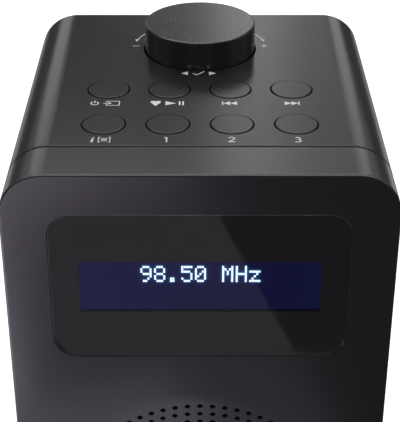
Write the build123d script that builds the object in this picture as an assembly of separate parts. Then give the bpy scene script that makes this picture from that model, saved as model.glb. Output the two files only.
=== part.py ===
"""Tabletop digital radio: a tall plastic cabinet with a dot-matrix display, a round speaker
grille, a turn-and-push selector knob, eight round push buttons and a folding telescopic aerial on
its back.

Millimetres. X is to the right, Y to the back, Z up. The origin is the middle of the whole radio's
footprint, on the surface that its feet stand on. Each function makes one sub-part, and the last
section writes one STEP file for each.
"""

from build123d import *

import math
import os

# ---- driving dimensions --------------------------------------------------------------------------
WIDTH = 95.0
DEPTH = 107.0  # front face to the back of the folded aerial
HEIGHT = 158.0  # table to the top of the knob
CABINET_DEPTH = 100.0
KNOB_RISE = 8.0
FOOT_RISE = 1.5
CORNER_R = 11.0
WALL = 2.4
FACE_T = 2.6

FRONT_Y = -DEPTH / 2
BACK_Y = FRONT_Y + CABINET_DEPTH
TOP_Z = HEIGHT - KNOB_RISE
BODY_H = TOP_Z - FOOT_RISE
MID_Z = FOOT_RISE + BODY_H / 2
INNER_FACE_Y = FRONT_Y + FACE_T
INNER_X = WIDTH / 2 - WALL
INNER_TOP_Z = TOP_Z - WALL
INNER_BOTTOM_Z = FOOT_RISE + WALL

# The front cover meets the cabinet at a groove all round.
SEAM_Y = FRONT_Y + 14.3
SEAM_GAP = 0.5
LIP_LENGTH = 3.2
LIP_T = 1.2
LIP_CLEARANCE = 0.15

# ---- display -------------------------------------------------------------------------------------
LENS_W, LENS_H, LENS_R = 72.8, 41.1, 5.8
LENS_Z = TOP_Z - 31.35
LENS_T = 1.5
LENS_GAP = 0.15
GLUE_T = 0.03  # between the lens and its printed mask
MASK_T = 0.2
WINDOW_W, WINDOW_H = 58.8, 14.6
WINDOW_Z = TOP_Z - 31.84
LCD_FRAME_W, LCD_FRAME_H, LCD_FRAME_T = 68.0, 24.0, 0.4
LCD_GLASS_W, LCD_GLASS_H, LCD_GLASS_T = 66.4, 22.4, 2.2
BACKLIGHT_T = 3.4
LCD_BOARD_W, LCD_BOARD_H = 73.0, 35.0
BOARD_T = 1.6
MASK_Y = FRONT_Y + LENS_T + GLUE_T
MASK_BACK_Y = MASK_Y + MASK_T
LCD_FRAME_Y = MASK_BACK_Y + 0.5
LCD_GLASS_Y = LCD_FRAME_Y + LCD_FRAME_T + 0.1
BACKLIGHT_Y = LCD_GLASS_Y + LCD_GLASS_T
LCD_BOARD_Y = BACKLIGHT_Y + BACKLIGHT_T
LCD_SCREW_X, LCD_SCREW_Z, LCD_SCREW_R = 33.5, 14.9, 0.9
LCD_TAB_X = 12.0
LCD_PLUG_X0, LCD_PLUG_X1 = 18.0, 30.0

# ---- speaker and grille --------------------------------------------------------------------------
GRILLE_Z = TOP_Z - 102.1
GRILLE_R = 35.4
GRILLE_T = 1.2
DISH_SLOPE = math.radians(6.3)  # slope of the shallow dish at the grille's edge
DISH_EDGE_R = 26.0  # radius of the soft edge round the dish
DISH_R = GRILLE_R + DISH_EDGE_R * math.sin(DISH_SLOPE)
DISH_LIP = DISH_EDGE_R * (1 - math.cos(DISH_SLOPE))
DISH_SPHERE_R = GRILLE_R / math.sin(DISH_SLOPE)
DISH_DEPTH = DISH_LIP + DISH_SPHERE_R * (1 - math.cos(DISH_SLOPE))
HOLE_R = 0.72
HOLE_RING_R = 33.9  # outermost ring of perforations
HOLE_RING_STEP = 2.74
HOLE_SPACING = 3.25
GRILLE_FLANGE_R, GRILLE_FLANGE_T = 37.2, 1.4
CLOTH_T = 0.3
GASKET_T = 1.0
SPEAKER_Y = INNER_FACE_Y + GRILLE_FLANGE_T + GASKET_T  # front of the speaker's flange
SPEAKER_R = 35.0
SPEAKER_SCREW = 29.0  # sideways and up from the speaker's axis
SPEAKER_SCREW_R = 1.1
BASKET_DEPTH = 16.0
COIL_R = 7.55
CONE_R = 28.9
CONE_FRONT = 0.4  # the cone's edge, behind the front of the flange
CONE_NECK = 8.6
CONE_GAP = 0.3

# ---- top controls --------------------------------------------------------------------------------
KNOB_Y = FRONT_Y + 74.0
KNOB_R = 15.33
KNOB_GAP = 0.5
WELL_DEPTH = 4.2
WELL_FLOOR_T = 2.0
KNOB_BOTTOM_Z = TOP_Z - 3.4
HUB_BOTTOM_Z = TOP_Z - 1.3
BUSH_TOP_Z = TOP_Z - WELL_DEPTH + 1.9
BUTTON_PITCH = 16.0
BACK_ROW_Y = FRONT_Y + 46.5
FRONT_ROW_Y = FRONT_Y + 26.1
BUTTON_HOLE_R = 5.65
BUTTON_R = 5.3
BUTTON_RISE = 0.2
KEY_BOARD_TOP_Z = 137.0
SWITCH_SIDE, SWITCH_H = 6.0, 3.5
PLUNGER_R, PLUNGER_RISE = 1.7, 0.8
KEY_SCREW_X = 35.0
KEY_SCREW_YS = (-30.0, 26.0)
SHAFT_R = 3.0
SHAFT_FLAT = 1.5  # the D-flat's distance from the shaft's axis
ENCODER_SIDE, ENCODER_H = 12.4, 6.4

# ---- boards, sockets and back --------------------------------------------------------------------
REAR_COVER_T = 2.4
REAR_COVER_Y = BACK_Y - 0.6 - REAR_COVER_T
REAR_FACE_Y = REAR_COVER_Y + REAR_COVER_T
REAR_SCREW_X = 40.0
REAR_SCREW_ZS = (25.0, 125.0)
FRONT_SCREW_X = 40.5
FRONT_SCREW_ZS = (10.0, 141.5)
FRONT_SCREW_R, REAR_SCREW_R = 1.25, 1.25
MAIN_BOARD_Z = 10.0
MAIN_BOARD_TOP = MAIN_BOARD_Z + BOARD_T
MAIN_BOARD_X = 36.0
MAIN_BOARD_Y0, MAIN_BOARD_Y1 = -14.0, 42.0
MAIN_SCREW_X = 31.0
MAIN_SCREW_YS = (-9.0, 37.0)
KEY_PLUG_X0, KEY_PLUG_X1 = -27.0, -15.0
PLUG_H = 4.0
PHONES_X, PHONES_Z, PHONES_BORE_R = -14.0, 17.6, 1.8
PHONES_NOSE_R = 3.9
DC_X, DC_Z, DC_BORE_R, DC_PIN_R = 10.0, 18.1, 3.15, 1.0
DC_NOSE_R = 4.6

# ---- aerial --------------------------------------------------------------------------------------
AERIAL_X, AERIAL_Z = 31.0, 134.0
AERIAL_R = 3.3
AERIAL_Y = DEPTH / 2 - AERIAL_R
STEM_R = 2.5
SECTION_RADII = (3.2, 2.65, 2.1, 1.55, 1.0)
TUBE_T = 0.4
SECTION_LENGTH = 98.0
COLLAR_LENGTH = 5.0
MOUTH_LENGTH = 2.0
SLIDE_CLEARANCE = 0.04
SECTION_STAGGER = 1.2

FOOT_R, FOOT_SUNK = 5.0, 0.8
FOOT_X = 34.0
FOOT_YS = (-30.0, 37.0)


# ---- helpers -------------------------------------------------------------------------------------
def prism_y(sketch, y0, y1):
    """A sketch drawn in X and Z, extruded from y0 to y1."""
    plane = Plane(origin=(0, y1, 0), x_dir=(1, 0, 0), z_dir=(0, -1, 0))
    return extrude(plane * sketch, amount=y1 - y0)


def rod_y(x, z, radius, y0, y1):
    return Pos(x, (y0 + y1) / 2, z) * Rot(90, 0, 0) * Cylinder(radius, y1 - y0)


def rod_z(x, y, radius, z0, z1):
    return Pos(x, y, (z0 + z1) / 2) * Cylinder(radius, z1 - z0)


def rod_x(y, z, radius, x0, x1):
    return Pos((x0 + x1) / 2, y, z) * Rot(0, 90, 0) * Cylinder(radius, x1 - x0)


def block(x0, x1, y0, y1, z0, z1):
    return Pos((x0 + x1) / 2, (y0 + y1) / 2, (z0 + z1) / 2) * Box(x1 - x0, y1 - y0, z1 - z0)


def outline(inset):
    """The cabinet's outline in X and Z, brought in by inset on every side."""
    return Pos(0, MID_Z) * RectangleRounded(WIDTH - 2 * inset, BODY_H - 2 * inset, CORNER_R - inset)


def turned_y(points, z):
    """A solid turned about an axis along Y at height z, from (radius, y) points."""
    return Pos(0, 0, z) * revolve(make_face(Polyline(*points, close=True)), Axis.Y)


def turned_z(points, x, y):
    """A solid turned about a vertical axis at x, y, from (radius, z) points."""
    profile = make_face(Polyline(*[(r, 0, z) for r, z in points], close=True))
    return Pos(x, y, 0) * revolve(profile, Axis.Z)


def four(xs, zs):
    return [(x, z) for x in xs for z in zs]


def lcd_screw_places():
    return four((-LCD_SCREW_X, LCD_SCREW_X), (WINDOW_Z - LCD_SCREW_Z, WINDOW_Z + LCD_SCREW_Z))


def speaker_screw_places():
    heights = (GRILLE_Z - SPEAKER_SCREW, GRILLE_Z + SPEAKER_SCREW)
    return four((-SPEAKER_SCREW, SPEAKER_SCREW), heights)


def screw_y(x, z, head_y, into, head_r, head_h, shank_r, length):
    """A cross-head screw along Y. into is +1 if its shank points towards +Y, and -1 otherwise."""
    tip = head_y + into * (head_h + length)
    shoulder = head_y + into * head_h
    head = rod_y(x, z, head_r, min(head_y, shoulder), max(head_y, shoulder))
    head = fillet(head.faces().sort_by(Axis.Y)[0 if into > 0 else -1].edges(), head_h * 0.45)
    shank = rod_y(x, z, shank_r, min(shoulder, tip), max(shoulder, tip))
    slot = Box(head_r * 1.2, head_h, head_r * 0.26)
    cross = [Pos(x, head_y, z) * Rot(0, angle, 0) * slot for angle in (45, 135)]
    return head + shank - cross


def screw_z(x, y, head_z, into, head_r, head_h, shank_r, length):
    """A cross-head screw along Z. into is -1 if it points down, and +1 otherwise."""
    turned = screw_y(0, 0, 0, 1, head_r, head_h, shank_r, length)
    return Pos(x, y, head_z) * Rot(90 * into, 0, 0) * turned


# ---- casing --------------------------------------------------------------------------------------
def dish_cutter():
    """The shallow dish round the grille: a soft outer edge, and open in the middle for it."""
    lip_y = FRONT_Y + DISH_LIP
    half = DISH_SLOPE / 2
    middle = (
        DISH_R - DISH_EDGE_R * math.sin(half),
        FRONT_Y + DISH_EDGE_R * (1 - math.cos(half)),
    )
    edge = ThreePointArc((DISH_R, FRONT_Y), middle, (GRILLE_R, lip_y))
    clear_y = FRONT_Y - 1
    rest = Polyline((GRILLE_R, lip_y), (0, lip_y), (0, clear_y), (DISH_R, clear_y), (DISH_R, FRONT_Y))
    return Pos(0, 0, GRILLE_Z) * revolve(make_face(edge + rest), Axis.Y)


def front_cover():
    back = SEAM_Y - SEAM_GAP / 2
    shell = prism_y(outline(0), FRONT_Y, back)
    shell = fillet(shell.faces().sort_by(Axis.Y)[0].edges(), 0.55)
    shell = fillet(shell.faces().sort_by(Axis.Y)[-1].edges(), 0.3)
    shell -= prism_y(outline(WALL), INNER_FACE_Y, back + 1)
    lip_root = prism_y(outline(WALL - 0.4), back - 4, back) - prism_y(outline(WALL + LIP_T), back - 4, back)
    lip = prism_y(outline(WALL + LIP_CLEARANCE), back, SEAM_Y + LIP_LENGTH)
    lip -= prism_y(outline(WALL + LIP_T), back, SEAM_Y + LIP_LENGTH)
    shell = shell + lip_root + lip
    pocket = RectangleRounded(LENS_W + 2 * LENS_GAP, LENS_H + 2 * LENS_GAP, LENS_R + LENS_GAP)
    shell -= prism_y(Pos(0, LENS_Z) * pocket, FRONT_Y - 1, MASK_BACK_Y)
    lcd_hole = RectangleRounded(LCD_FRAME_W + 0.6, LCD_FRAME_H + 0.6, 0.8)
    shell -= prism_y(Pos(0, WINDOW_Z) * lcd_hole, FRONT_Y, SEAM_Y)
    shell -= rod_y(0, GRILLE_Z, GRILLE_R, FRONT_Y - 1, SEAM_Y)
    shell -= dish_cutter()
    for x, z in four((-FRONT_SCREW_X, FRONT_SCREW_X), FRONT_SCREW_ZS):
        shell += rod_y(x, z, 3.2, INNER_FACE_Y - 0.5, SEAM_Y + LIP_LENGTH)
        shell -= rod_y(x, z, FRONT_SCREW_R, SEAM_Y + LIP_LENGTH - 10, SEAM_Y + LIP_LENGTH)
    for x, z in lcd_screw_places():
        shell += rod_y(x, z, 2.4, INNER_FACE_Y - 0.5, LCD_BOARD_Y)
        shell -= rod_y(x, z, LCD_SCREW_R, LCD_BOARD_Y - 5, LCD_BOARD_Y)
    for x, z in speaker_screw_places():
        shell += rod_y(x, z, 3.0, INNER_FACE_Y - 0.5, SPEAKER_Y)
        shell -= rod_y(x, z, SPEAKER_SCREW_R, FRONT_Y + 1.6, SPEAKER_Y)
    return shell


def cabinet_sleeve():
    front = SEAM_Y + SEAM_GAP / 2
    shell = prism_y(outline(0), front, BACK_Y)
    shell = fillet(shell.faces().sort_by(Axis.Y)[0].edges(), 0.3)
    shell = fillet(shell.faces().sort_by(Axis.Y)[-1].edges(), 0.9)
    shell -= prism_y(outline(WALL), front - 1, BACK_Y + 1)
    # the knob's well, with a hole for the encoder's bush
    well_floor = TOP_Z - WELL_DEPTH
    shell += rod_z(0, KNOB_Y, KNOB_R + KNOB_GAP + 2, well_floor - WELL_FLOOR_T, TOP_Z - 1)
    shell -= rod_z(0, KNOB_Y, KNOB_R + KNOB_GAP, well_floor, TOP_Z + 1)
    shell -= rod_z(0, KNOB_Y, 3.6, well_floor - WELL_FLOOR_T - 1, well_floor + 1)
    for x, y, _ in button_places():
        shell -= rod_z(x, y, BUTTON_HOLE_R, INNER_TOP_Z - 1, TOP_Z + 1)
    for x in (-KEY_SCREW_X, KEY_SCREW_X):
        for y in KEY_SCREW_YS:
            shell += rod_z(x, y, 2.8, KEY_BOARD_TOP_Z, INNER_TOP_Z + 0.5)
            shell -= rod_z(x, y, 0.95, KEY_BOARD_TOP_Z, KEY_BOARD_TOP_Z + 7)
    for x in (-MAIN_SCREW_X, MAIN_SCREW_X):
        for y in MAIN_SCREW_YS:
            shell += rod_z(x, y, 3.0, INNER_BOTTOM_Z - 0.5, MAIN_BOARD_Z)
            shell -= rod_z(x, y, 0.95, INNER_BOTTOM_Z + 0.5, MAIN_BOARD_Z)
    for side in (-1, 1):
        wall_x = side * (INNER_X + 0.5)
        for z in REAR_SCREW_ZS:
            x = side * REAR_SCREW_X
            post = rod_y(x, z, 3.6, REAR_COVER_Y - 22, REAR_COVER_Y)
            web = block(*sorted((x, wall_x)), REAR_COVER_Y - 22, REAR_COVER_Y, z - 1.2, z + 1.2)
            shell += post + web
            shell -= rod_y(x, z, REAR_SCREW_R, REAR_COVER_Y - 12, REAR_COVER_Y)
        ear_y = SEAM_Y + LIP_LENGTH + 0.1
        for z in FRONT_SCREW_ZS:
            x = side * FRONT_SCREW_X
            ear = rod_y(x, z, 3.4, ear_y, ear_y + 2.4)
            web = block(*sorted((x, wall_x)), ear_y, ear_y + 2.4, z - 2.2, z + 2.2)
            shell += ear + web
            shell -= rod_y(x, z, 1.6, ear_y - 1, ear_y + 4)
        for y in FOOT_YS:
            shell -= rod_z(side * FOOT_X, y, FOOT_R + 0.1, FOOT_RISE - 1, FOOT_RISE + FOOT_SUNK)
    return shell


def rear_cover():
    plate = prism_y(outline(WALL + LIP_CLEARANCE), REAR_COVER_Y, REAR_FACE_Y)
    plate = fillet(plate.faces().sort_by(Axis.Y)[-1].edges(), 0.4)
    # the aerial's bearing boss, inside
    plate += rod_y(AERIAL_X, AERIAL_Z, 6.0, REAR_COVER_Y - 3.5, REAR_COVER_Y)
    plate -= rod_y(AERIAL_X, AERIAL_Z, STEM_R + 0.06, REAR_COVER_Y - 5, REAR_FACE_Y + 1)
    for x, z in four((-REAR_SCREW_X, REAR_SCREW_X), REAR_SCREW_ZS):
        plate -= rod_y(x, z, 3.3, REAR_FACE_Y - 1.2, REAR_FACE_Y + 1)
        plate -= rod_y(x, z, 1.7, REAR_COVER_Y - 1, REAR_FACE_Y)
    # a shallow panel round the two sockets
    panel = Pos((PHONES_X + DC_X) / 2, 18.0) * RectangleRounded(44, 15, 3)
    plate -= prism_y(panel, REAR_FACE_Y - 0.8, REAR_FACE_Y + 1)
    plate -= rod_y(PHONES_X, PHONES_Z, PHONES_NOSE_R + 0.2, REAR_COVER_Y - 1, REAR_FACE_Y)
    plate -= rod_y(DC_X, DC_Z, DC_NOSE_R + 0.2, REAR_COVER_Y - 1, REAR_FACE_Y)
    vent_pitch, vent_count = 5.0, 9
    vent = SlotOverall(22, 1.8, rotation=90)
    for i in range(vent_count):
        x = (i - (vent_count - 1) / 2) * vent_pitch - 10
        plate -= prism_y(Pos(x, 62.0) * vent, REAR_COVER_Y - 1, REAR_FACE_Y + 1)
    return plate


def grille_holes():
    """Rings of perforations at about equal spacing, each ring with a hole straight above the centre."""
    holes = [rod_y(0, GRILLE_Z, HOLE_R, FRONT_Y - 1, INNER_FACE_Y + 2)]
    rings = int(HOLE_RING_R / HOLE_RING_STEP)
    for ring in range(rings):
        radius = HOLE_RING_R - ring * HOLE_RING_STEP
        count = round(2 * math.pi * radius / HOLE_SPACING)
        for i in range(count):
            angle = 2 * math.pi * i / count
            x, z = radius * math.sin(angle), GRILLE_Z + radius * math.cos(angle)
            holes.append(rod_y(x, z, HOLE_R, FRONT_Y - 1, INNER_FACE_Y + 2))
    return holes


def speaker_grille():
    """A perforated disc that carries on the dish, with a flange bonded to the back of the front cover."""
    rim_y, middle_y = FRONT_Y + DISH_LIP, FRONT_Y + DISH_DEPTH
    half = DISH_SLOPE / 2
    bow = (DISH_SPHERE_R * math.sin(half), middle_y - DISH_SPHERE_R * (1 - math.cos(half)))
    front = ThreePointArc((0, middle_y), bow, (GRILLE_R, rim_y))
    flange_back = INNER_FACE_Y + GRILLE_FLANGE_T
    inner_r = HOLE_RING_R + HOLE_R + 0.3
    inner_y = middle_y + GRILLE_T - DISH_SPHERE_R * (1 - math.cos(math.asin(inner_r / DISH_SPHERE_R)))
    back_bow = (bow[0], bow[1] + GRILLE_T)
    edge = Polyline(
        (GRILLE_R, rim_y),
        (GRILLE_R, INNER_FACE_Y),
        (GRILLE_FLANGE_R, INNER_FACE_Y),
        (GRILLE_FLANGE_R, flange_back),
        (inner_r, flange_back),
        (inner_r, inner_y),
    )
    back = ThreePointArc((inner_r, inner_y), back_bow, (0, middle_y + GRILLE_T))
    close = Line((0, middle_y + GRILLE_T), (0, middle_y))
    disc = Pos(0, 0, GRILLE_Z) * revolve(make_face(front + edge + back + close), Axis.Y)
    return disc - grille_holes()


def grille_cloth():
    y = INNER_FACE_Y + GRILLE_FLANGE_T - CLOTH_T
    return rod_y(0, GRILLE_Z, HOLE_RING_R + HOLE_R, y, y + CLOTH_T)


def rubber_feet():
    feet = []
    for x in (-FOOT_X, FOOT_X):
        for y in FOOT_YS:
            foot = rod_z(x, y, FOOT_R, 0, FOOT_RISE + FOOT_SUNK)
            feet.append(fillet(foot.faces().sort_by(Axis.Z)[0].edges(), 0.5))
    return feet


def front_cover_screws():
    head_y = SEAM_Y + LIP_LENGTH + 0.1 + 2.4 + 1.8
    return [
        screw_y(x, z, head_y, -1, 2.6, 1.8, FRONT_SCREW_R, 10.0)
        for x, z in four((-FRONT_SCREW_X, FRONT_SCREW_X), FRONT_SCREW_ZS)
    ]


def rear_cover_screws():
    return [
        screw_y(x, z, REAR_FACE_Y, -1, 2.9, 1.2, REAR_SCREW_R, 11.0)
        for x, z in four((-REAR_SCREW_X, REAR_SCREW_X), REAR_SCREW_ZS)
    ]


# ---- display -------------------------------------------------------------------------------------
def display_lens():
    lens = prism_y(Pos(0, LENS_Z) * RectangleRounded(LENS_W, LENS_H, LENS_R), FRONT_Y, FRONT_Y + LENS_T)
    return fillet(lens.faces().sort_by(Axis.Y)[0].edges(), 0.2)


def lens_mask():
    sheet = Pos(0, LENS_Z) * RectangleRounded(LENS_W, LENS_H, LENS_R)
    hole = Pos(0, WINDOW_Z) * Rectangle(WINDOW_W, WINDOW_H)
    return prism_y(sheet - hole, MASK_Y, MASK_BACK_Y)


def lcd_tab_places():
    """(x, z) of the tabs that hold the frame to the board."""
    reach = (LCD_FRAME_H - LCD_FRAME_T) / 2
    return four((-LCD_TAB_X, LCD_TAB_X), (WINDOW_Z - reach, WINDOW_Z + reach))


def lcd_frame():
    """A folded sheet-metal frame with an open back, and two tabs through the board."""
    back = LCD_BOARD_Y
    outside = RectangleRounded(LCD_FRAME_W, LCD_FRAME_H, 0.6)
    frame = prism_y(Pos(0, WINDOW_Z) * outside, LCD_FRAME_Y, back)
    inside = Rectangle(LCD_FRAME_W - 2 * LCD_FRAME_T, LCD_FRAME_H - 2 * LCD_FRAME_T)
    frame -= prism_y(Pos(0, WINDOW_Z) * inside, LCD_FRAME_Y + LCD_FRAME_T, back + 1)
    opening = Rectangle(WINDOW_W + 4, WINDOW_H + 3)
    frame -= prism_y(Pos(0, WINDOW_Z) * opening, LCD_FRAME_Y - 1, back)
    for x, z in lcd_tab_places():
        frame += block(x - 1.5, x + 1.5, back - 1, back + BOARD_T + 0.6, z - 0.2, z + 0.2)
    return frame


def lcd_glass():
    sheet = Pos(0, WINDOW_Z) * Rectangle(LCD_GLASS_W, LCD_GLASS_H)
    return prism_y(sheet, LCD_GLASS_Y, LCD_GLASS_Y + LCD_GLASS_T)


def lcd_backlight():
    sheet = Pos(0, WINDOW_Z) * Rectangle(LCD_GLASS_W, LCD_GLASS_H)
    return prism_y(sheet, BACKLIGHT_Y, LCD_BOARD_Y)


def lcd_board():
    y0, y1 = LCD_BOARD_Y, LCD_BOARD_Y + BOARD_T
    board = prism_y(Pos(0, WINDOW_Z) * RectangleRounded(LCD_BOARD_W, LCD_BOARD_H, 1.0), y0, y1)
    for x, z in lcd_screw_places():
        board -= rod_y(x, z, LCD_SCREW_R + 0.2, y0 - 1, y1 + 1)
    for x, z in lcd_tab_places():
        board -= block(x - 1.7, x + 1.7, y0 - 1, y1 + 1, z - 0.35, z + 0.35)
    for x in (-14, 14):  # two driver chips under domes of black resin
        dome = Pos(x, y1 - 5.4, WINDOW_Z) * Sphere(7.0)
        board += dome & block(x - 9, x + 9, y1 - 0.2, y1 + 2, WINDOW_Z - 9, WINDOW_Z + 9)
    board += block(LCD_PLUG_X0, LCD_PLUG_X1, y1 - 0.1, y1 + PLUG_H, WINDOW_Z - 13.4, WINDOW_Z - 9.4)
    return board


def lcd_screws():
    head_y = LCD_BOARD_Y + BOARD_T + 1.4
    return [screw_y(x, z, head_y, -1, 1.9, 1.4, LCD_SCREW_R, 5.5) for x, z in lcd_screw_places()]


# ---- selector knob and encoder -------------------------------------------------------------------
def d_bar(radius, flat, z0, z1):
    """A vertical bar at the knob's axis with a flat on its front side."""
    bar = rod_z(0, KNOB_Y, radius, z0, z1)
    return bar - block(-radius - 1, radius + 1, KNOB_Y - radius - 1, KNOB_Y - flat, z0 - 1, z1 + 1)


def selector_knob():
    skirt, roof, hub = 1.8, 2.2, 4.6
    points = [
        (0, HEIGHT),
        (KNOB_R, HEIGHT),
        (KNOB_R, KNOB_BOTTOM_Z),
        (KNOB_R - skirt, KNOB_BOTTOM_Z),
        (KNOB_R - skirt, HEIGHT - roof),
        (hub, HEIGHT - roof),
        (hub, HUB_BOTTOM_Z),
        (0, HUB_BOTTOM_Z),
    ]
    knob = turned_z(points, 0, KNOB_Y)
    knob = fillet(knob.edges().filter_by(GeomType.CIRCLE).filter_by_position(Axis.Z, HEIGHT, HEIGHT), 0.5)
    rib = block(hub - 0.5, KNOB_R - skirt + 0.5, -0.6, 0.6, HEIGHT - 5, HEIGHT - roof + 0.5)
    for i in range(6):  # ribs between hub and skirt
        knob += Pos(0, KNOB_Y, 0) * Rot(0, 0, 60 * i + 30) * rib
    return knob - d_bar(SHAFT_R, SHAFT_FLAT, KNOB_BOTTOM_Z - 1, HEIGHT - 3)


def encoder_shaft():
    """The D-shaped shaft, with a collar at its foot that rests under the rotor's bearing."""
    return d_bar(SHAFT_R, SHAFT_FLAT, KEY_BOARD_TOP_Z + 0.8, HEIGHT - 3)


def encoder_rotor():
    """The contact disc inside the encoder. The shaft slides up and down in its D-shaped hole."""
    z0 = KEY_BOARD_TOP_Z + 2.0
    disc = rod_z(0, KNOB_Y, 4.8, z0, z0 + 1.2) + rod_z(0, KNOB_Y, 3.9, z0, z0 + 2.6)
    return disc - d_bar(SHAFT_R + 0.05, SHAFT_FLAT + 0.05, z0 - 1, z0 + 4)


def encoder_body():
    z0, z1 = KEY_BOARD_TOP_Z, KEY_BOARD_TOP_Z + ENCODER_H
    half = ENCODER_SIDE / 2
    body = block(-half, half, KNOB_Y - half, KNOB_Y + half, z0, z1)
    body = fillet(body.edges().filter_by(Axis.Z), 0.8)
    body -= rod_z(0, KNOB_Y, 5.1, z0 + 0.2, z1 - 1.2)
    body += rod_z(0, KNOB_Y, 3.5, z1 - 1.2, BUSH_TOP_Z)
    body -= rod_z(0, KNOB_Y, SHAFT_R + 0.06, z1 - 2, BUSH_TOP_Z + 1)
    for x in (-1, 1):  # solder tags into the board
        body += block(x * 6.0 - 0.4, x * 6.0 + 0.4, KNOB_Y - 1, KNOB_Y + 1, z0 - 2.4, z0 + 1.5)
    return body


def encoder_nut():
    z0 = TOP_Z - WELL_DEPTH
    nut = extrude(Pos(0, KNOB_Y, z0) * RegularPolygon(5.0, 6), amount=1.5)
    return nut - rod_z(0, KNOB_Y, 3.5, z0 - 1, z0 + 3)


# ---- buttons and their board ---------------------------------------------------------------------
BACK_ROW_NAMES = ("power_button", "favourite_button", "previous_button", "next_button")
FRONT_ROW_NAMES = ("menu_button", "preset_1_button", "preset_2_button", "preset_3_button")


def button_places():
    """(x, y, name) of each button, left to right, back row first."""
    places = []
    for y, names in ((BACK_ROW_Y, BACK_ROW_NAMES), (FRONT_ROW_Y, FRONT_ROW_NAMES)):
        for i, name in enumerate(names):
            places.append(((i - 1.5) * BUTTON_PITCH, y, name))
    return places


def push_button(x, y):
    """A cap with a retaining flange and a stem, and the switch plunger that it rests on."""
    top, flange_top = TOP_Z + BUTTON_RISE, INNER_TOP_Z - 0.3
    plunger_top = KEY_BOARD_TOP_Z + SWITCH_H + PLUNGER_RISE
    points = [
        (0, top),
        (BUTTON_R, top),
        (BUTTON_R, flange_top),
        (BUTTON_R + 1.1, flange_top),
        (BUTTON_R + 1.1, flange_top - 0.9),
        (BUTTON_R - 1.2, flange_top - 0.9),
        (BUTTON_R - 1.2, top - 1.6),
        (1.9, top - 1.6),
        (1.9, plunger_top),
        (0, plunger_top),
    ]
    cap = turned_z(points, x, y)
    cap = fillet(cap.edges().filter_by(GeomType.CIRCLE).filter_by_position(Axis.Z, top, top), 0.25)
    plunger = rod_z(x, y, PLUNGER_R, KEY_BOARD_TOP_Z + SWITCH_H - 0.8, plunger_top)
    return [cap, plunger]


def tact_switches():
    switches = []
    z0, z1 = KEY_BOARD_TOP_Z, KEY_BOARD_TOP_Z + SWITCH_H
    for x, y, _ in button_places():
        half = SWITCH_SIDE / 2
        body = block(x - half, x + half, y - half, y + half, z0, z1)
        body = chamfer(body.faces().sort_by(Axis.Z)[-1].edges(), 0.3)
        body -= rod_z(x, y, PLUNGER_R + 0.1, z1 - 1.5, z1 + 1)
        for side in (-1, 1):  # legs through the board
            body += block(x + side * 2.9 - 0.3, x + side * 2.9 + 0.3, y - 2.4, y - 1.8, z0 - 2.2, z0 + 0.4)
        switches.append(body)
    return switches


def key_board():
    z0, z1 = KEY_BOARD_TOP_Z - BOARD_T, KEY_BOARD_TOP_Z
    board = block(-38.2, 38.2, -34.5, 31.0, z0, z1)
    board = fillet(board.edges().filter_by(Axis.Z), 1.5)
    for x in (-KEY_SCREW_X, KEY_SCREW_X):
        for y in KEY_SCREW_YS:
            board -= rod_z(x, y, 1.2, z0 - 1, z1 + 1)
    for x, y, _ in button_places():
        for side in (-1, 1):
            board -= block(x + side * 2.9 - 0.4, x + side * 2.9 + 0.4, y - 2.5, y - 1.7, z0 - 1, z1 + 1)
    for side in (-1, 1):
        board -= block(side * 6.0 - 0.5, side * 6.0 + 0.5, KNOB_Y - 1.1, KNOB_Y + 1.1, z0 - 1, z1 + 1)
    board += block(KEY_PLUG_X0, KEY_PLUG_X1, 14, 18.5, z0 - 2.6, z0 + 0.1)  # ribbon connector underneath
    board += block(-4, 4, -20, -12, z0 - 1.2, z0 + 0.1)  # key scanner chip
    return board


def key_board_screws():
    head_z = KEY_BOARD_TOP_Z - BOARD_T - 1.4
    return [
        screw_z(x, y, head_z, 1, 2.0, 1.4, 0.95, 7.5)
        for x in (-KEY_SCREW_X, KEY_SCREW_X)
        for y in KEY_SCREW_YS
    ]


# ---- speaker -------------------------------------------------------------------------------------
BASKET_FLOOR_Y = SPEAKER_Y + BASKET_DEPTH
TOP_PLATE_T, MAGNET_T, BACK_PLATE_T = 3.0, 7.0, 2.5
TOP_PLATE_Y = BASKET_FLOOR_Y
MAGNET_Y = TOP_PLATE_Y + TOP_PLATE_T
BACK_PLATE_Y = MAGNET_Y + MAGNET_T


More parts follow.
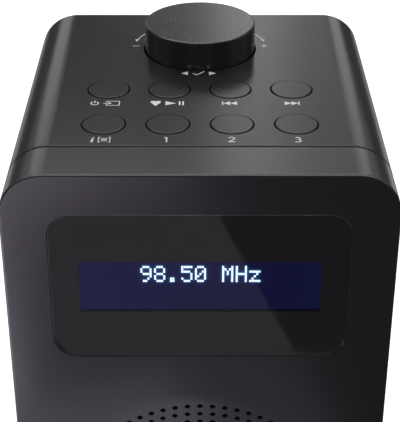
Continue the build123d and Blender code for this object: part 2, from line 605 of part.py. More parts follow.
def speaker_frame():
    """A pressed steel basket: a flange with four ears, a cone of spokes, and a floor for the magnet."""
    sheet = 1.0
    profile = [
        (31.5, SPEAKER_Y),
        (SPEAKER_R, SPEAKER_Y),
        (SPEAKER_R, SPEAKER_Y + sheet),
        (32.6, SPEAKER_Y + sheet),
        (18.2, BASKET_FLOOR_Y),
        (9.5, BASKET_FLOOR_Y),
        (9.5, BASKET_FLOOR_Y - sheet),
        (17.2, BASKET_FLOOR_Y - sheet),
        (31.5, SPEAKER_Y + 1.1),
    ]
    frame = turned_y(profile, GRILLE_Z)
    for i in range(6):
        tilt = Pos(0, 0, GRILLE_Z) * Rot(0, 60 * i + 30, 0)
        frame -= tilt * block(-6.2, 6.2, SPEAKER_Y + 4.0, BASKET_FLOOR_Y - 2.6, 15, 34)
    for x, z in four((-1, 1), (-1, 1)):
        ear_x, ear_z = x * SPEAKER_SCREW, GRILLE_Z + z * SPEAKER_SCREW
        ear = rod_y(ear_x, ear_z, 3.6, SPEAKER_Y, SPEAKER_Y + sheet)
        arm_place = Pos(x * 26.0, SPEAKER_Y + sheet / 2, GRILLE_Z + z * 26.0)
        arm = arm_place * Rot(0, -45 * x * z, 0) * Box(8.5, sheet, 7.2)
        frame += ear + (arm - rod_y(0, GRILLE_Z, 32.0, SPEAKER_Y - 1, SPEAKER_Y + 3))
        frame -= rod_y(ear_x, ear_z, 1.5, SPEAKER_Y - 1, SPEAKER_Y + 3)
    tag = block(-6, 6, BASKET_FLOOR_Y - 9, BASKET_FLOOR_Y - 7.8, GRILLE_Z - 31, GRILLE_Z - 25.5)
    return frame + tag


def speaker_gasket():
    ring = rod_y(0, GRILLE_Z, SPEAKER_R, SPEAKER_Y - GASKET_T, SPEAKER_Y)
    return ring - rod_y(0, GRILLE_Z, SPEAKER_R - 3.0, SPEAKER_Y - 2, SPEAKER_Y + 1)


def speaker_surround():
    """The rubber roll between the cone and the basket, glued to the inside of the basket's flange."""
    sheet, roll_r = 0.5, 1.0
    y = SPEAKER_Y + CONE_FRONT
    inner, outer = CONE_R + CONE_GAP, 31.5
    middle = (inner + outer) / 2
    ring = turned_y([(inner, y), (outer, y), (outer, y + sheet), (inner, y + sheet)], GRILLE_Z)
    roll = Pos(0, y, GRILLE_Z) * Rot(90, 0, 0) * Torus(middle, roll_r)
    hollow = Pos(0, y, GRILLE_Z) * Rot(90, 0, 0) * Torus(middle, roll_r - sheet)
    behind = rod_y(0, GRILLE_Z, 40, y, y + 5)
    groove = rod_y(0, GRILLE_Z, middle + roll_r - 0.2, y - 1, y + 2)
    groove -= rod_y(0, GRILLE_Z, middle - roll_r + 0.2, y - 2, y + 3)
    return (ring - groove) + (roll - behind - hollow)


def speaker_cone():
    sheet = 0.6
    front_y, neck_y = SPEAKER_Y + CONE_FRONT, SPEAKER_Y + CONE_NECK
    points = [
        (CONE_R, front_y),
        (CONE_R, front_y + sheet),
        (CONE_R - 1.5, front_y + sheet),
        (COIL_R + 0.25, neck_y + sheet),
        (COIL_R + 0.25, neck_y - 0.2),
        (CONE_R - 1.8, front_y),
    ]
    return turned_y(points, GRILLE_Z)


def dust_cap():
    """A shallow paper dome glued over the middle of the cone."""
    y, radius, sphere_r, sheet = SPEAKER_Y + CONE_NECK - 1.1, 10.0, 14.0, 0.4
    centre_y = y + math.sqrt(sphere_r**2 - radius**2)
    dome = Pos(0, centre_y, GRILLE_Z) * (Sphere(sphere_r) - Sphere(sphere_r - sheet))
    return dome & rod_y(0, GRILLE_Z, radius, y - 8, y)


def voice_coil():
    y0, y1 = SPEAKER_Y + 7.0, TOP_PLATE_Y + TOP_PLATE_T - 0.4
    return rod_y(0, GRILLE_Z, COIL_R + 0.25, y0, y1) - rod_y(0, GRILLE_Z, COIL_R - 0.1, y0 - 1, y1 + 1)


def speaker_spider():
    """The corrugated centring disc behind the cone."""
    y, pitch = BASKET_FLOOR_Y - 5.0, 1.6
    inner, count, sheet, rise = COIL_R + 0.45, 5, 0.4, 0.7
    front, back = [], []
    for i in range(2 * count + 1):
        radius = inner + i * pitch / 2
        offset = rise if i % 2 else 0.0
        front.append((radius, y + offset))
        back.append((radius, y + offset + sheet))
    outer = 18.6
    front.append((outer, y))
    back.append((outer, y + sheet))
    return turned_y(front + back[::-1], GRILLE_Z)


def magnet_top_plate():
    plate = rod_y(0, GRILLE_Z, 17.5, TOP_PLATE_Y, MAGNET_Y)
    return plate - rod_y(0, GRILLE_Z, COIL_R + 0.7, TOP_PLATE_Y - 1, MAGNET_Y + 1)


def speaker_magnet():
    ring = chamfer(rod_y(0, GRILLE_Z, 20.0, MAGNET_Y, BACK_PLATE_Y).edges().filter_by(GeomType.CIRCLE), 0.6)
    return ring - rod_y(0, GRILLE_Z, 10.5, MAGNET_Y - 1, BACK_PLATE_Y + 1)


def magnet_yoke():
    plate = rod_y(0, GRILLE_Z, 18.0, BACK_PLATE_Y, BACK_PLATE_Y + BACK_PLATE_T)
    plate = chamfer(plate.faces().sort_by(Axis.Y)[-1].edges(), 0.7)
    return plate + rod_y(0, GRILLE_Z, COIL_R - 0.5, TOP_PLATE_Y + 0.2, BACK_PLATE_Y)


def speaker_screws():
    head_y = SPEAKER_Y + 1.0 + 1.6
    return [screw_y(x, z, head_y, -1, 2.5, 1.6, SPEAKER_SCREW_R, 3.6) for x, z in speaker_screw_places()]


# ---- main board and sockets ----------------------------------------------------------------------
def main_board():
    board = block(-MAIN_BOARD_X, MAIN_BOARD_X, MAIN_BOARD_Y0, MAIN_BOARD_Y1, MAIN_BOARD_Z, MAIN_BOARD_TOP)
    board = fillet(board.edges().filter_by(Axis.Z), 1.5)
    for x in (-MAIN_SCREW_X, MAIN_SCREW_X):
        for y in MAIN_SCREW_YS:
            board -= rod_z(x, y, 1.2, MAIN_BOARD_Z - 1, MAIN_BOARD_TOP + 1)
    top = MAIN_BOARD_TOP
    chips = ((-8, 4, 9, 9, 1.2), (8, -4, 5, 4, 1.5), (-22, -4, 6, 4, 1.5), (0, 18, 5, 5, 1.0))
    for x, y, length, width, height in chips:
        board += Pos(x, y, top + height / 2) * Box(length, width, height + 0.1)
    board += block(LCD_PLUG_X0, LCD_PLUG_X1, -4, 0, top - 0.1, top + PLUG_H)  # display ribbon
    board += block(KEY_PLUG_X0, KEY_PLUG_X1, 22, 26, top - 0.1, top + PLUG_H)  # key ribbon
    board += block(-4, 4, -12, -8, top - 0.1, top + 4.5)  # speaker plug
    return board


def main_board_screws():
    head_z = MAIN_BOARD_TOP + 1.4
    return [
        screw_z(x, y, head_z, -1, 2.0, 1.4, 0.95, 7.0)
        for x in (-MAIN_SCREW_X, MAIN_SCREW_X)
        for y in MAIN_SCREW_YS
    ]


def tuner_shield():
    """The tin box over the tuner, with a row of cooling holes."""
    x0, x1, y0, y1 = 14, 33, 8, 30
    z0, z1 = MAIN_BOARD_TOP, MAIN_BOARD_TOP + 4.4
    tin = block(x0, x1, y0, y1, z0, z1)
    tin = fillet(tin.edges().filter_by(Axis.Z) + tin.faces().sort_by(Axis.Z)[-1].edges(), 0.5)
    tin -= block(x0 + 0.4, x1 - 0.4, y0 + 0.4, y1 - 0.4, z0 - 1, z1 - 0.4)
    for i in range(5):
        tin -= rod_z(x0 + 3.5 + 3 * i, y0 + 4, 0.8, z1 - 2, z1 + 1)
    return tin


def amplifier_heatsink():
    """A comb-shaped aluminium heatsink over the amplifier chip."""
    x0, y0, width, length = -33.0, 4.0, 13.0, 14.0
    base = block(x0, x0 + width, y0, y0 + length, MAIN_BOARD_TOP, MAIN_BOARD_TOP + 3)
    fins = 6
    pitch = (width - 1.0) / (fins - 1)
    for i in range(fins):
        x = x0 + i * pitch
        base += block(x, x + 1.0, y0, y0 + length, MAIN_BOARD_TOP + 2.5, MAIN_BOARD_TOP + 12)
    return base


def capacitors():
    cans = []
    places = ((-2, 32, 4.0, 11.5), (6.5, 24.5, 3.2, 9.0), (-31.2, 29.4, 4.0, 11.5), (-12, 14, 3.2, 9.0))
    for x, y, radius, height in places:
        can = rod_z(x, y, radius, MAIN_BOARD_TOP, MAIN_BOARD_TOP + height)
        can = fillet(can.faces().sort_by(Axis.Z)[-1].edges(), 0.5)
        groove = Pos(x, y, MAIN_BOARD_TOP + 1.6) * Torus(radius + 0.1, 0.4)
        cans.append(can - groove)
    return cans


def headphone_jack():
    nose_y = REAR_FACE_Y - 0.8
    body = block(PHONES_X - 6, PHONES_X + 6, 30.0, REAR_COVER_Y - 0.3, MAIN_BOARD_TOP, PHONES_Z + 4.4)
    body = fillet(body.edges().filter_by(Axis.Y), 0.6)
    body += rod_y(PHONES_X, PHONES_Z, PHONES_NOSE_R, REAR_COVER_Y - 0.4, nose_y)
    return body - rod_y(PHONES_X, PHONES_Z, PHONES_BORE_R, nose_y - 14.0, nose_y)


def dc_jack():
    nose_y = REAR_FACE_Y - 0.8
    body = block(DC_X - 4.8, DC_X + 4.8, 31.5, REAR_COVER_Y - 0.3, MAIN_BOARD_TOP, DC_Z + 5.2)
    body = fillet(body.edges().filter_by(Axis.Y), 0.6)
    body += rod_y(DC_X, DC_Z, DC_NOSE_R, REAR_COVER_Y - 0.4, nose_y)
    body -= rod_y(DC_X, DC_Z, DC_BORE_R, nose_y - 9.5, nose_y)
    pin = rod_y(DC_X, DC_Z, DC_PIN_R, nose_y - 9.6, nose_y - 0.9)
    return body + pin


# ---- aerial --------------------------------------------------------------------------------------
EAR_X0, EAR_X1 = 2.6, 4.3
SWIVEL_DISC_Y = REAR_FACE_Y + 0.15


def antenna_swivel():
    """The turning foot: a stem through the rear cover, a disc against it, and two ears for the pin."""
    inner_end = REAR_COVER_Y - 3.6
    foot = rod_y(AERIAL_X, AERIAL_Z, STEM_R, inner_end, SWIVEL_DISC_Y + 0.1)
    disc = rod_y(AERIAL_X, AERIAL_Z, 6.2, SWIVEL_DISC_Y, AERIAL_Y - AERIAL_R - 0.2)
    disc = fillet(disc.faces().sort_by(Axis.Y)[-1].edges(), 0.25)
    foot += disc
    for side in (-1, 1):
        x0, x1 = sorted((AERIAL_X + side * EAR_X0, AERIAL_X + side * EAR_X1))
        ear = block(x0, x1, SWIVEL_DISC_Y + 0.2, AERIAL_Y, AERIAL_Z - 3.1, AERIAL_Z + 3.1)
        foot += ear + rod_x(AERIAL_Y, AERIAL_Z, 3.1, x0, x1)
    foot -= rod_x(AERIAL_Y, AERIAL_Z, 1.0, AERIAL_X - 6, AERIAL_X + 6)
    return foot - rod_y(AERIAL_X, AERIAL_Z, 1.1, inner_end - 1, inner_end + 5)


def antenna_retainer():
    """The screw and washer that hold the foot in the rear cover."""
    washer_y = REAR_COVER_Y - 3.6
    washer = rod_y(AERIAL_X, AERIAL_Z, 4.8, washer_y - 0.8, washer_y)
    washer -= rod_y(AERIAL_X, AERIAL_Z, 1.1, washer_y - 2, washer_y + 1)
    screw = screw_y(AERIAL_X, AERIAL_Z, washer_y - 2.4, 1, 2.4, 1.6, 1.1, 5.4)
    return [washer, screw]


def antenna_hinge_pin():
    x0, x1 = AERIAL_X - EAR_X1 - 0.3, AERIAL_X + EAR_X1 + 0.3
    pin = rod_x(AERIAL_Y, AERIAL_Z, 1.0, x0, x1)
    for end in (x0, x1 - 0.3):
        pin += rod_x(AERIAL_Y, AERIAL_Z, 1.5, end, end + 0.3)
    return pin


SECTION_TOP_Z = AERIAL_Z - 7.0
PLUG_LENGTH = 4.0


def antenna_knuckle():
    """The turned brass elbow that the pin goes through, with a plug pressed into the first tube."""
    half = EAR_X0 - 0.1
    barrel = rod_x(AERIAL_Y, AERIAL_Z, AERIAL_R, AERIAL_X - half, AERIAL_X + half)
    neck = rod_z(AERIAL_X, AERIAL_Y, 2.4, SECTION_TOP_Z, AERIAL_Z - 1)
    plug = rod_z(AERIAL_X, AERIAL_Y, SECTION_RADII[0] - TUBE_T, SECTION_TOP_Z - PLUG_LENGTH, SECTION_TOP_Z)
    collar = rod_z(AERIAL_X, AERIAL_Y, SECTION_RADII[0], SECTION_TOP_Z, SECTION_TOP_Z + 1.6)
    knuckle = barrel + neck + collar + plug
    return knuckle - rod_x(AERIAL_Y, AERIAL_Z, 1.04, AERIAL_X - 5, AERIAL_X + 5)


def section_span(index):
    """(top z, bottom z) of a folded aerial section; index 0 is the outermost tube."""
    bottom = SECTION_TOP_Z - SECTION_LENGTH - SECTION_STAGGER * index
    top = SECTION_TOP_Z if index == 0 else SECTION_TOP_Z - PLUG_LENGTH - 0.3 - 0.3 * index
    return top, bottom


def antenna_section(index):
    """One tube. It has a wider collar at its root and a narrowed mouth, so that it can't pull out."""
    top, bottom = section_span(index)
    radius = SECTION_RADII[index]
    tube = rod_z(AERIAL_X, AERIAL_Y, radius, bottom, top)
    if index > 0:
        collar_r = SECTION_RADII[index - 1] - TUBE_T - SLIDE_CLEARANCE
        tube += rod_z(AERIAL_X, AERIAL_Y, collar_r, top - COLLAR_LENGTH, top)
    if index < len(SECTION_RADII) - 1:
        tube -= rod_z(AERIAL_X, AERIAL_Y, radius - TUBE_T, bottom + MOUTH_LENGTH, top + 1)
        mouth_r = SECTION_RADII[index + 1] + SLIDE_CLEARANCE
        tube -= rod_z(AERIAL_X, AERIAL_Y, mouth_r, bottom - 1, bottom + 3)
    return tube


def antenna_tip():
    """The round end cap, crimped on the last rod."""
    _, bottom = section_span(len(SECTION_RADII) - 1)
    cap = rod_z(AERIAL_X, AERIAL_Y, SECTION_RADII[0], bottom - 5.0, bottom)
    return fillet(cap.edges().filter_by(GeomType.CIRCLE), 0.8)


# ---- wiring --------------------------------------------------------------------------------------
def ribbon(points, radius, x0, x1):
    """A flat cable seen from the side as a line in Y and Z, as wide as x0 to x1."""
    path = FilletPolyline(*points, radius=radius)
    strip = trace(path, 0.3)
    plane = Plane(origin=(x0, 0, 0), x_dir=(0, 1, 0), z_dir=(1, 0, 0))
    return extrude(plane * strip, amount=x1 - x0)


def wire(points, radius, bend):
    path = FilletPolyline(*points, radius=bend)
    start = Plane(origin=path @ 0, z_dir=path % 0)
    return sweep(start * Circle(radius), path=path)


def wiring_harness():
    """Two ribbon cables, the speaker's pair of wires, and the aerial's lead."""
    board_top = MAIN_BOARD_TOP
    key_z = KEY_BOARD_TOP_Z - BOARD_T - 2.7
    plug_z = board_top + PLUG_H + 0.1
    key_route = ((16.3, key_z), (16.3, 120), (34, 112), (34, 30), (24, 24), (24, plug_z))
    keys = ribbon(key_route, 4, KEY_PLUG_X0 + 1, KEY_PLUG_X1 - 1)
    lcd_y, lcd_z = LCD_BOARD_Y + BOARD_T + PLUG_H + 0.1, WINDOW_Z - 11.4
    display_route = ((lcd_y, lcd_z), (-28, lcd_z), (-16, 84), (-16, 34), (-2, 26), (-2, plug_z))
    display = ribbon(display_route, 4, LCD_PLUG_X0 + 1, LCD_PLUG_X1 - 1)
    tag_y, tag_z = BASKET_FLOOR_Y - 8.4, GRILLE_Z - 31.1
    wire_r = 0.6
    leads = []
    for x in (-3.0, 3.0):
        plug_x = x * 0.7
        lead_route = (
            (x, tag_y, tag_z),
            (x, tag_y, tag_z - 5),
            (plug_x, -20, tag_z - 5),
            (plug_x, -10, board_top + 8),
            (plug_x, -10, board_top + 4.6),
        )
        leads.append(wire(lead_route, wire_r, 1.6))
    foot_x, tuner_x = AERIAL_X - 7.5, 24
    aerial_route = (
        (foot_x, REAR_COVER_Y - 2, AERIAL_Z),
        (foot_x, 34, AERIAL_Z),
        (tuner_x, 34, 110),
        (tuner_x, 34, 40),
        (tuner_x, 20, 30),
        (tuner_x, 20, board_top + 4.5),
    )
    return [keys, display, *leads, wire(aerial_route, wire_r, 4)]


# ---- writing the files ---------------------------------------------------------------------------
def write(name, shape):
    solids = shape if isinstance(shape, list) else [shape]
    solids = [solid for item in solids for solid in item.solids()]
    export_step(Compound(children=solids) if len(solids) > 1 else solids[0], f"parts/{name}.step")


def main():
    os.makedirs("parts", exist_ok=True)
    makers = (
        front_cover,
        cabinet_sleeve,
        rear_cover,
        speaker_grille,
        grille_cloth,
        rubber_feet,
        front_cover_screws,
        rear_cover_screws,
        display_lens,
        lens_mask,
        lcd_frame,
        lcd_glass,
        lcd_backlight,
        lcd_board,
        lcd_screws,
        selector_knob,
        encoder_shaft,
        encoder_rotor,
        encoder_body,
        encoder_nut,
        tact_switches,
        key_board,
        key_board_screws,
        speaker_frame,
        speaker_gasket,
        speaker_surround,
        speaker_cone,
        dust_cap,
        voice_coil,
        speaker_spider,
        magnet_top_plate,
        speaker_magnet,
        magnet_yoke,
        speaker_screws,
        main_board,
        main_board_screws,
        tuner_shield,
        amplifier_heatsink,
        capacitors,
        headphone_jack,
        dc_jack,
        antenna_swivel,
        antenna_retainer,
        antenna_hinge_pin,
        antenna_knuckle,
        antenna_tip,
        wiring_harness,
    )
    for maker in makers:
        write(maker.__name__, maker())
    for x, y, name in button_places():
        write(name, push_button(x, y))
    for index in range(len(SECTION_RADII)):
        write(f"antenna_section_{index + 1}", antenna_section(index))


main()
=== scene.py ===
import itertools
import math

import bmesh
import bpy
from mathutils import Matrix, Vector


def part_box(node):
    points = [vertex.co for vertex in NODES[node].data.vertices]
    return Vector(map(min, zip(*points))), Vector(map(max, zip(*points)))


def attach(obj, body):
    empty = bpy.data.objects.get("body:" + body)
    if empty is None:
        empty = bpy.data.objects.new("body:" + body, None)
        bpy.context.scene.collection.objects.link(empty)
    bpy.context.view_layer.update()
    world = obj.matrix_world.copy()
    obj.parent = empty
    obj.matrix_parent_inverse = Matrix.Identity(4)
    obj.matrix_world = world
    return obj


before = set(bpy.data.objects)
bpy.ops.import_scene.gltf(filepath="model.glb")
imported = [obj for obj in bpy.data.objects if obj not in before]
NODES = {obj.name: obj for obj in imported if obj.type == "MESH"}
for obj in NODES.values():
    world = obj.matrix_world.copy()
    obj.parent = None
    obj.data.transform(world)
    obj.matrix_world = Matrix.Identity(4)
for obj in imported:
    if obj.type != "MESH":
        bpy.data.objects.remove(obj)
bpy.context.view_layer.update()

MM = 0.001


# ---- places taken from the CAD -------------------------------------------------------------------
def centre(node):
    low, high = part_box(node)
    return (low + high) / 2


TOP_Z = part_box("cabinet_sleeve")[1].z
FRONT_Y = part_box("front_cover")[0].y
REAR_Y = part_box("rear_cover")[1].y
GLASS_LOW, GLASS_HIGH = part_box("lcd_glass")
KNOB = centre("selector_knob")


# ---- node helpers --------------------------------------------------------------------------------
def new_material(name):
    """An empty principled material: (material, node tree, principled node, object coordinates)."""
    material = bpy.data.materials.new(name)
    material.use_nodes = True
    tree = material.node_tree
    shader = tree.nodes["Principled BSDF"]
    place = tree.nodes.new("ShaderNodeTexCoord").outputs["Object"]
    return material, tree, shader, place


def stretched(tree, place, scale):
    """Coordinates scaled unevenly, for grain that runs one way."""
    node = tree.nodes.new("ShaderNodeVectorMath")
    node.operation = "MULTIPLY"
    node.inputs[1].default_value = scale
    tree.links.new(place, node.inputs[0])
    return node.outputs[0]


def noise(tree, place, size, detail=2.0, roughness=0.5):
    """Noise between 0 and 1, with features about size metres across."""
    node = tree.nodes.new("ShaderNodeTexNoise")
    node.inputs["Scale"].default_value = 1.0 / size
    node.inputs["Detail"].default_value = detail
    node.inputs["Roughness"].default_value = roughness
    tree.links.new(place, node.inputs["Vector"])
    return node.outputs["Fac"]


def cells(tree, place, size):
    """The distance to the nearest of many scattered points, about size metres apart."""
    node = tree.nodes.new("ShaderNodeTexVoronoi")
    node.inputs["Scale"].default_value = 1.0 / size
    tree.links.new(place, node.inputs["Vector"])
    return node.outputs["Distance"]


def spread(tree, value, low, high, new_low, new_high):
    """value, moved from low..high to new_low..new_high and held there."""
    node = tree.nodes.new("ShaderNodeMapRange")
    for socket, number in zip(("From Min", "From Max", "To Min", "To Max"), (low, high, new_low, new_high)):
        node.inputs[socket].default_value = number
    tree.links.new(value, node.inputs["Value"])
    return node.outputs["Result"]


def arithmetic(tree, operation, first, second):
    node = tree.nodes.new("ShaderNodeMath")
    node.operation = operation
    for socket, value in zip(node.inputs, (first, second)):
        if isinstance(value, float):
            socket.default_value = value
        else:
            tree.links.new(value, socket)
    return node.outputs[0]


def blend_colours(tree, factor, dark, light):
    """A colour between dark and light; each is a colour tuple or a socket."""
    node = tree.nodes.new("ShaderNodeMix")
    node.data_type = "RGBA"
    tree.links.new(factor, node.inputs["Factor"])
    for socket, colour in ((node.inputs[6], dark), (node.inputs[7], light)):
        if isinstance(colour, tuple):
            socket.default_value = (*colour, 1.0)
        else:
            tree.links.new(colour, socket)
    return node.outputs[2]


def paint(tree, shader, colour, roughness):
    tree.links.new(colour, shader.inputs["Base Color"])
    tree.links.new(roughness, shader.inputs["Roughness"])


def bump(tree, shader, height, strength, depth):
    node = tree.nodes.new("ShaderNodeBump")
    node.inputs["Strength"].default_value = strength
    node.inputs["Distance"].default_value = depth
    tree.links.new(height, node.inputs["Height"])
    tree.links.new(node.outputs["Normal"], shader.inputs["Normal"])


def edge_mask(tree, radius):
    """1 close to a sharp edge and 0 on the open surface, for wear, and on the display's lens for painted
    shade along its edge.
    """
    rounded = tree.nodes.new("ShaderNodeBevel")
    rounded.samples = 4
    rounded.inputs["Radius"].default_value = radius
    plain = tree.nodes.new("ShaderNodeNewGeometry")
    dot = tree.nodes.new("ShaderNodeVectorMath")
    dot.operation = "DOT_PRODUCT"
    tree.links.new(rounded.outputs[0], dot.inputs[0])
    tree.links.new(plain.outputs["Normal"], dot.inputs[1])
    return spread(tree, dot.outputs["Value"], 0.98, 0.80, 0.0, 1.0)


def shade(colour, amount):
    return tuple(min(1.0, channel * amount) for channel in colour)


# ---- materials -----------------------------------------------------------------------------------
def satin_plastic(name, colour, roughness, grain=0.00032, depth=0.000012, strength=0.3,
                  tint=(1.0, 1.0, 1.0), specular=0.5):
    """Moulded plastic with a spark-eroded skin: a fine even grain, faint mottling and rubbed edges."""
    material, tree, shader, place = new_material(name)
    mottle = noise(tree, place, 0.018, 3.0)
    speck = noise(tree, place, grain * 1.5, 2.0, 0.7)
    wear = spread(tree, mottle, 0.35, 0.7, 0.2, 0.35)
    rubbed = arithmetic(tree, "MULTIPLY", edge_mask(tree, 0.0004), wear)
    base = blend_colours(tree, mottle, shade(colour, 0.93), shade(colour, 1.07))
    grained = blend_colours(tree, spread(tree, speck, 0.3, 0.7, 0.0, 0.3), base, shade(colour, 1.35))
    worn = blend_colours(tree, rubbed, grained, shade(colour, 2.2))
    rough = spread(tree, speck, 0.25, 0.75, roughness - 0.05, roughness + 0.06)
    polished = arithmetic(tree, "SUBTRACT", rough, arithmetic(tree, "MULTIPLY", rubbed, 0.2))
    paint(tree, shader, worn, polished)
    shader.inputs["Specular Tint"].default_value = (*tint, 1.0)
    shader.inputs["Specular IOR Level"].default_value = specular
    fine = noise(tree, place, grain * 0.35, 1.0)
    bump(tree, shader, arithmetic(tree, "ADD", noise(tree, place, grain, 2.0, 0.6), fine), strength, depth)
    return material


def rubber(name, colour, roughness=0.75):
    """Matte rubber or foam: fine pores and a dusty bloom."""
    material, tree, shader, place = new_material(name)
    bloom = noise(tree, place, 0.006, 4.0, 0.6)
    dusty = blend_colours(tree, bloom, shade(colour, 0.8), shade(colour, 1.5))
    paint(tree, shader, dusty, spread(tree, bloom, 0.3, 0.7, roughness - 0.08, roughness + 0.1))
    shader.inputs["Specular IOR Level"].default_value = 0.35
    bump(tree, shader, cells(tree, place, 0.00045), 0.4, 0.00004)
    return material


def metal(name, colour, roughness, grain=(1.0, 1.0, 1.0), scratch=0.25):
    """Bare or plated metal. grain makes the brushing run along the axes with small numbers."""
    material, tree, shader, place = new_material(name)
    lines = noise(tree, stretched(tree, place, grain), 0.0004, 3.0, 0.6)
    cloud = noise(tree, place, 0.006, 3.0)
    rubbed = edge_mask(tree, 0.0003)
    tarnish = spread(tree, cloud, 0.4, 0.75, 0.0, 0.15)
    dulled = blend_colours(tree, tarnish, colour, shade(colour, 0.45))
    rough = arithmetic(tree, "ADD", spread(tree, lines, 0.3, 0.7, roughness - 0.06, roughness + 0.1),
                       spread(tree, cloud, 0.4, 0.7, 0.0, 0.08))
    paint(tree, shader, blend_colours(tree, rubbed, dulled, shade(colour, 1.15)), rough)
    shader.inputs["Metallic"].default_value = 1.0
    bump(tree, shader, lines, scratch, 0.00001)
    return material


def chrome(name):
    """Bright plating with fingermarks and faint rings left by drawing the tube."""
    material, tree, shader, place = new_material(name)
    smear = noise(tree, place, 0.007, 4.0, 0.65)
    hairline = noise(tree, stretched(tree, place, (1.0, 1.0, 0.05)), 0.0003, 2.0)
    plating = blend_colours(tree, smear, (0.58, 0.59, 0.60), (0.70, 0.70, 0.70))
    paint(tree, shader, plating, spread(tree, smear, 0.35, 0.75, 0.09, 0.26))
    shader.inputs["Metallic"].default_value = 1.0
    bump(tree, shader, hairline, 0.08, 0.000005)
    return material


def solder_mask(name, seed_shift):
    """A circuit board: green lacquer, copper tracks showing through, and small tinned pads."""
    material, tree, shader, place = new_material(name)
    shifted = tree.nodes.new("ShaderNodeVectorMath")
    shifted.inputs[1].default_value = seed_shift
    tree.links.new(place, shifted.inputs[0])
    place = shifted.outputs[0]
    tracks = tree.nodes.new("ShaderNodeTexBrick")
    tracks.inputs["Scale"].default_value = 260.0
    tracks.inputs["Mortar Size"].default_value = 0.09
    tree.links.new(place, tracks.inputs["Vector"])
    pads = spread(tree, cells(tree, place, 0.0026), 0.16, 0.13, 0.0, 1.0)
    lacquer = blend_colours(tree, tracks.outputs["Fac"], (0.006, 0.060, 0.026), (0.012, 0.110, 0.045))
    rough = spread(tree, noise(tree, place, 0.002), 0.3, 0.7, 0.24, 0.40)
    paint(tree, shader, blend_colours(tree, pads, lacquer, (0.62, 0.60, 0.55)), rough)
    tree.links.new(pads, shader.inputs["Metallic"])
    bump(tree, shader, arithmetic(tree, "ADD", tracks.outputs["Fac"], pads), 0.35, 0.00003)
    return material


def woven_cloth(name, colour, pitch, sheen):
    """Cloth of crossed threads, pitch metres apart, lying in X and Z."""
    material, tree, shader, place = new_material(name)
    waves = []
    for direction in ("X", "Z"):
        wave = tree.nodes.new("ShaderNodeTexWave")
        wave.bands_direction = direction
        wave.inputs["Scale"].default_value = 1.0 / pitch / 3.2
        wave.inputs["Distortion"].default_value = 0.6
        tree.links.new(place, wave.inputs["Vector"])
        waves.append(wave.outputs["Fac"])
    threads = arithmetic(tree, "MAXIMUM", *waves)
    uneven = noise(tree, place, 0.004, 3.0)
    thread_colour = blend_colours(tree, uneven, shade(colour, 0.7), shade(colour, 1.6))
    woven = blend_colours(tree, threads, (0.002, 0.002, 0.002), thread_colour)
    paint(tree, shader, woven, spread(tree, uneven, 0.3, 0.7, 0.75, 0.95))
    shader.inputs["Sheen Weight"].default_value = sheen
    bump(tree, shader, threads, 0.7, 0.00012)
    return material


def pressed_paper(name, colour):
    """Loudspeaker paper: felted fibres in uneven patches."""
    material, tree, shader, place = new_material(name)
    fibres = noise(tree, place, 0.0005, 5.0, 0.75)
    patches = noise(tree, place, 0.005, 2.0)
    dyed = blend_colours(tree, patches, shade(colour, 0.8), shade(colour, 1.3))
    felted = blend_colours(tree, spread(tree, fibres, 0.55, 0.75, 0.0, 0.6), dyed, shade(colour, 2.5))
    paint(tree, shader, felted, spread(tree, fibres, 0.3, 0.7, 0.72, 0.95))
    bump(tree, shader, fibres, 0.5, 0.00008)
    return material


def ferrite(name):
    """Dark sintered ferrite: grey, slightly glittering, chipped along its edges."""
    material, tree, shader, place = new_material(name)
    grains = cells(tree, place, 0.0003)
    chips = arithmetic(tree, "MULTIPLY", edge_mask(tree, 0.0008), noise(tree, place, 0.0012, 3.0))
    grey = blend_colours(tree, grains, (0.030, 0.030, 0.032), (0.075, 0.075, 0.080))
    paint(tree, shader, grey, spread(tree, grains, 0.1, 0.7, 0.35, 0.65))
    shader.inputs["Metallic"].default_value = 0.3
    bump(tree, shader, arithmetic(tree, "SUBTRACT", grains, chips), 0.4, 0.00008)
    return material


def copper_winding(name):
    """Close turns of enamelled copper wire round an axis along Y."""
    material, tree, shader, place = new_material(name)
    turns = tree.nodes.new("ShaderNodeTexWave")
    turns.bands_direction = "Y"
    turns.inputs["Scale"].default_value = 1500.0
    tree.links.new(place, turns.inputs["Vector"])
    enamel = blend_colours(tree, turns.outputs["Fac"], (0.12, 0.03, 0.010), (0.60, 0.22, 0.08))
    paint(tree, shader, enamel, spread(tree, noise(tree, place, 0.001), 0.3, 0.7, 0.22, 0.38))
    shader.inputs["Metallic"].default_value = 0.85
    bump(tree, shader, turns.outputs["Fac"], 0.8, 0.00008)
    return material


def insulation(name):
    """Grey cable insulation with the ridges of a ribbon cable across X."""
    material, tree, shader, place = new_material(name)
    ridges = tree.nodes.new("ShaderNodeTexWave")
    ridges.bands_direction = "X"
    ridges.inputs["Scale"].default_value = 250.0
    tree.links.new(place, ridges.inputs["Vector"])
    tone = noise(tree, place, 0.01, 2.0)
    light = blend_colours(tree, tone, (0.30, 0.30, 0.31), (0.42, 0.42, 0.42))
    ribbed = blend_colours(tree, ridges.outputs["Fac"], (0.10, 0.10, 0.11), light)
    paint(tree, shader, ribbed, spread(tree, tone, 0.3, 0.7, 0.42, 0.58))
    bump(tree, shader, ridges.outputs["Fac"], 0.6, 0.00012)
    return material


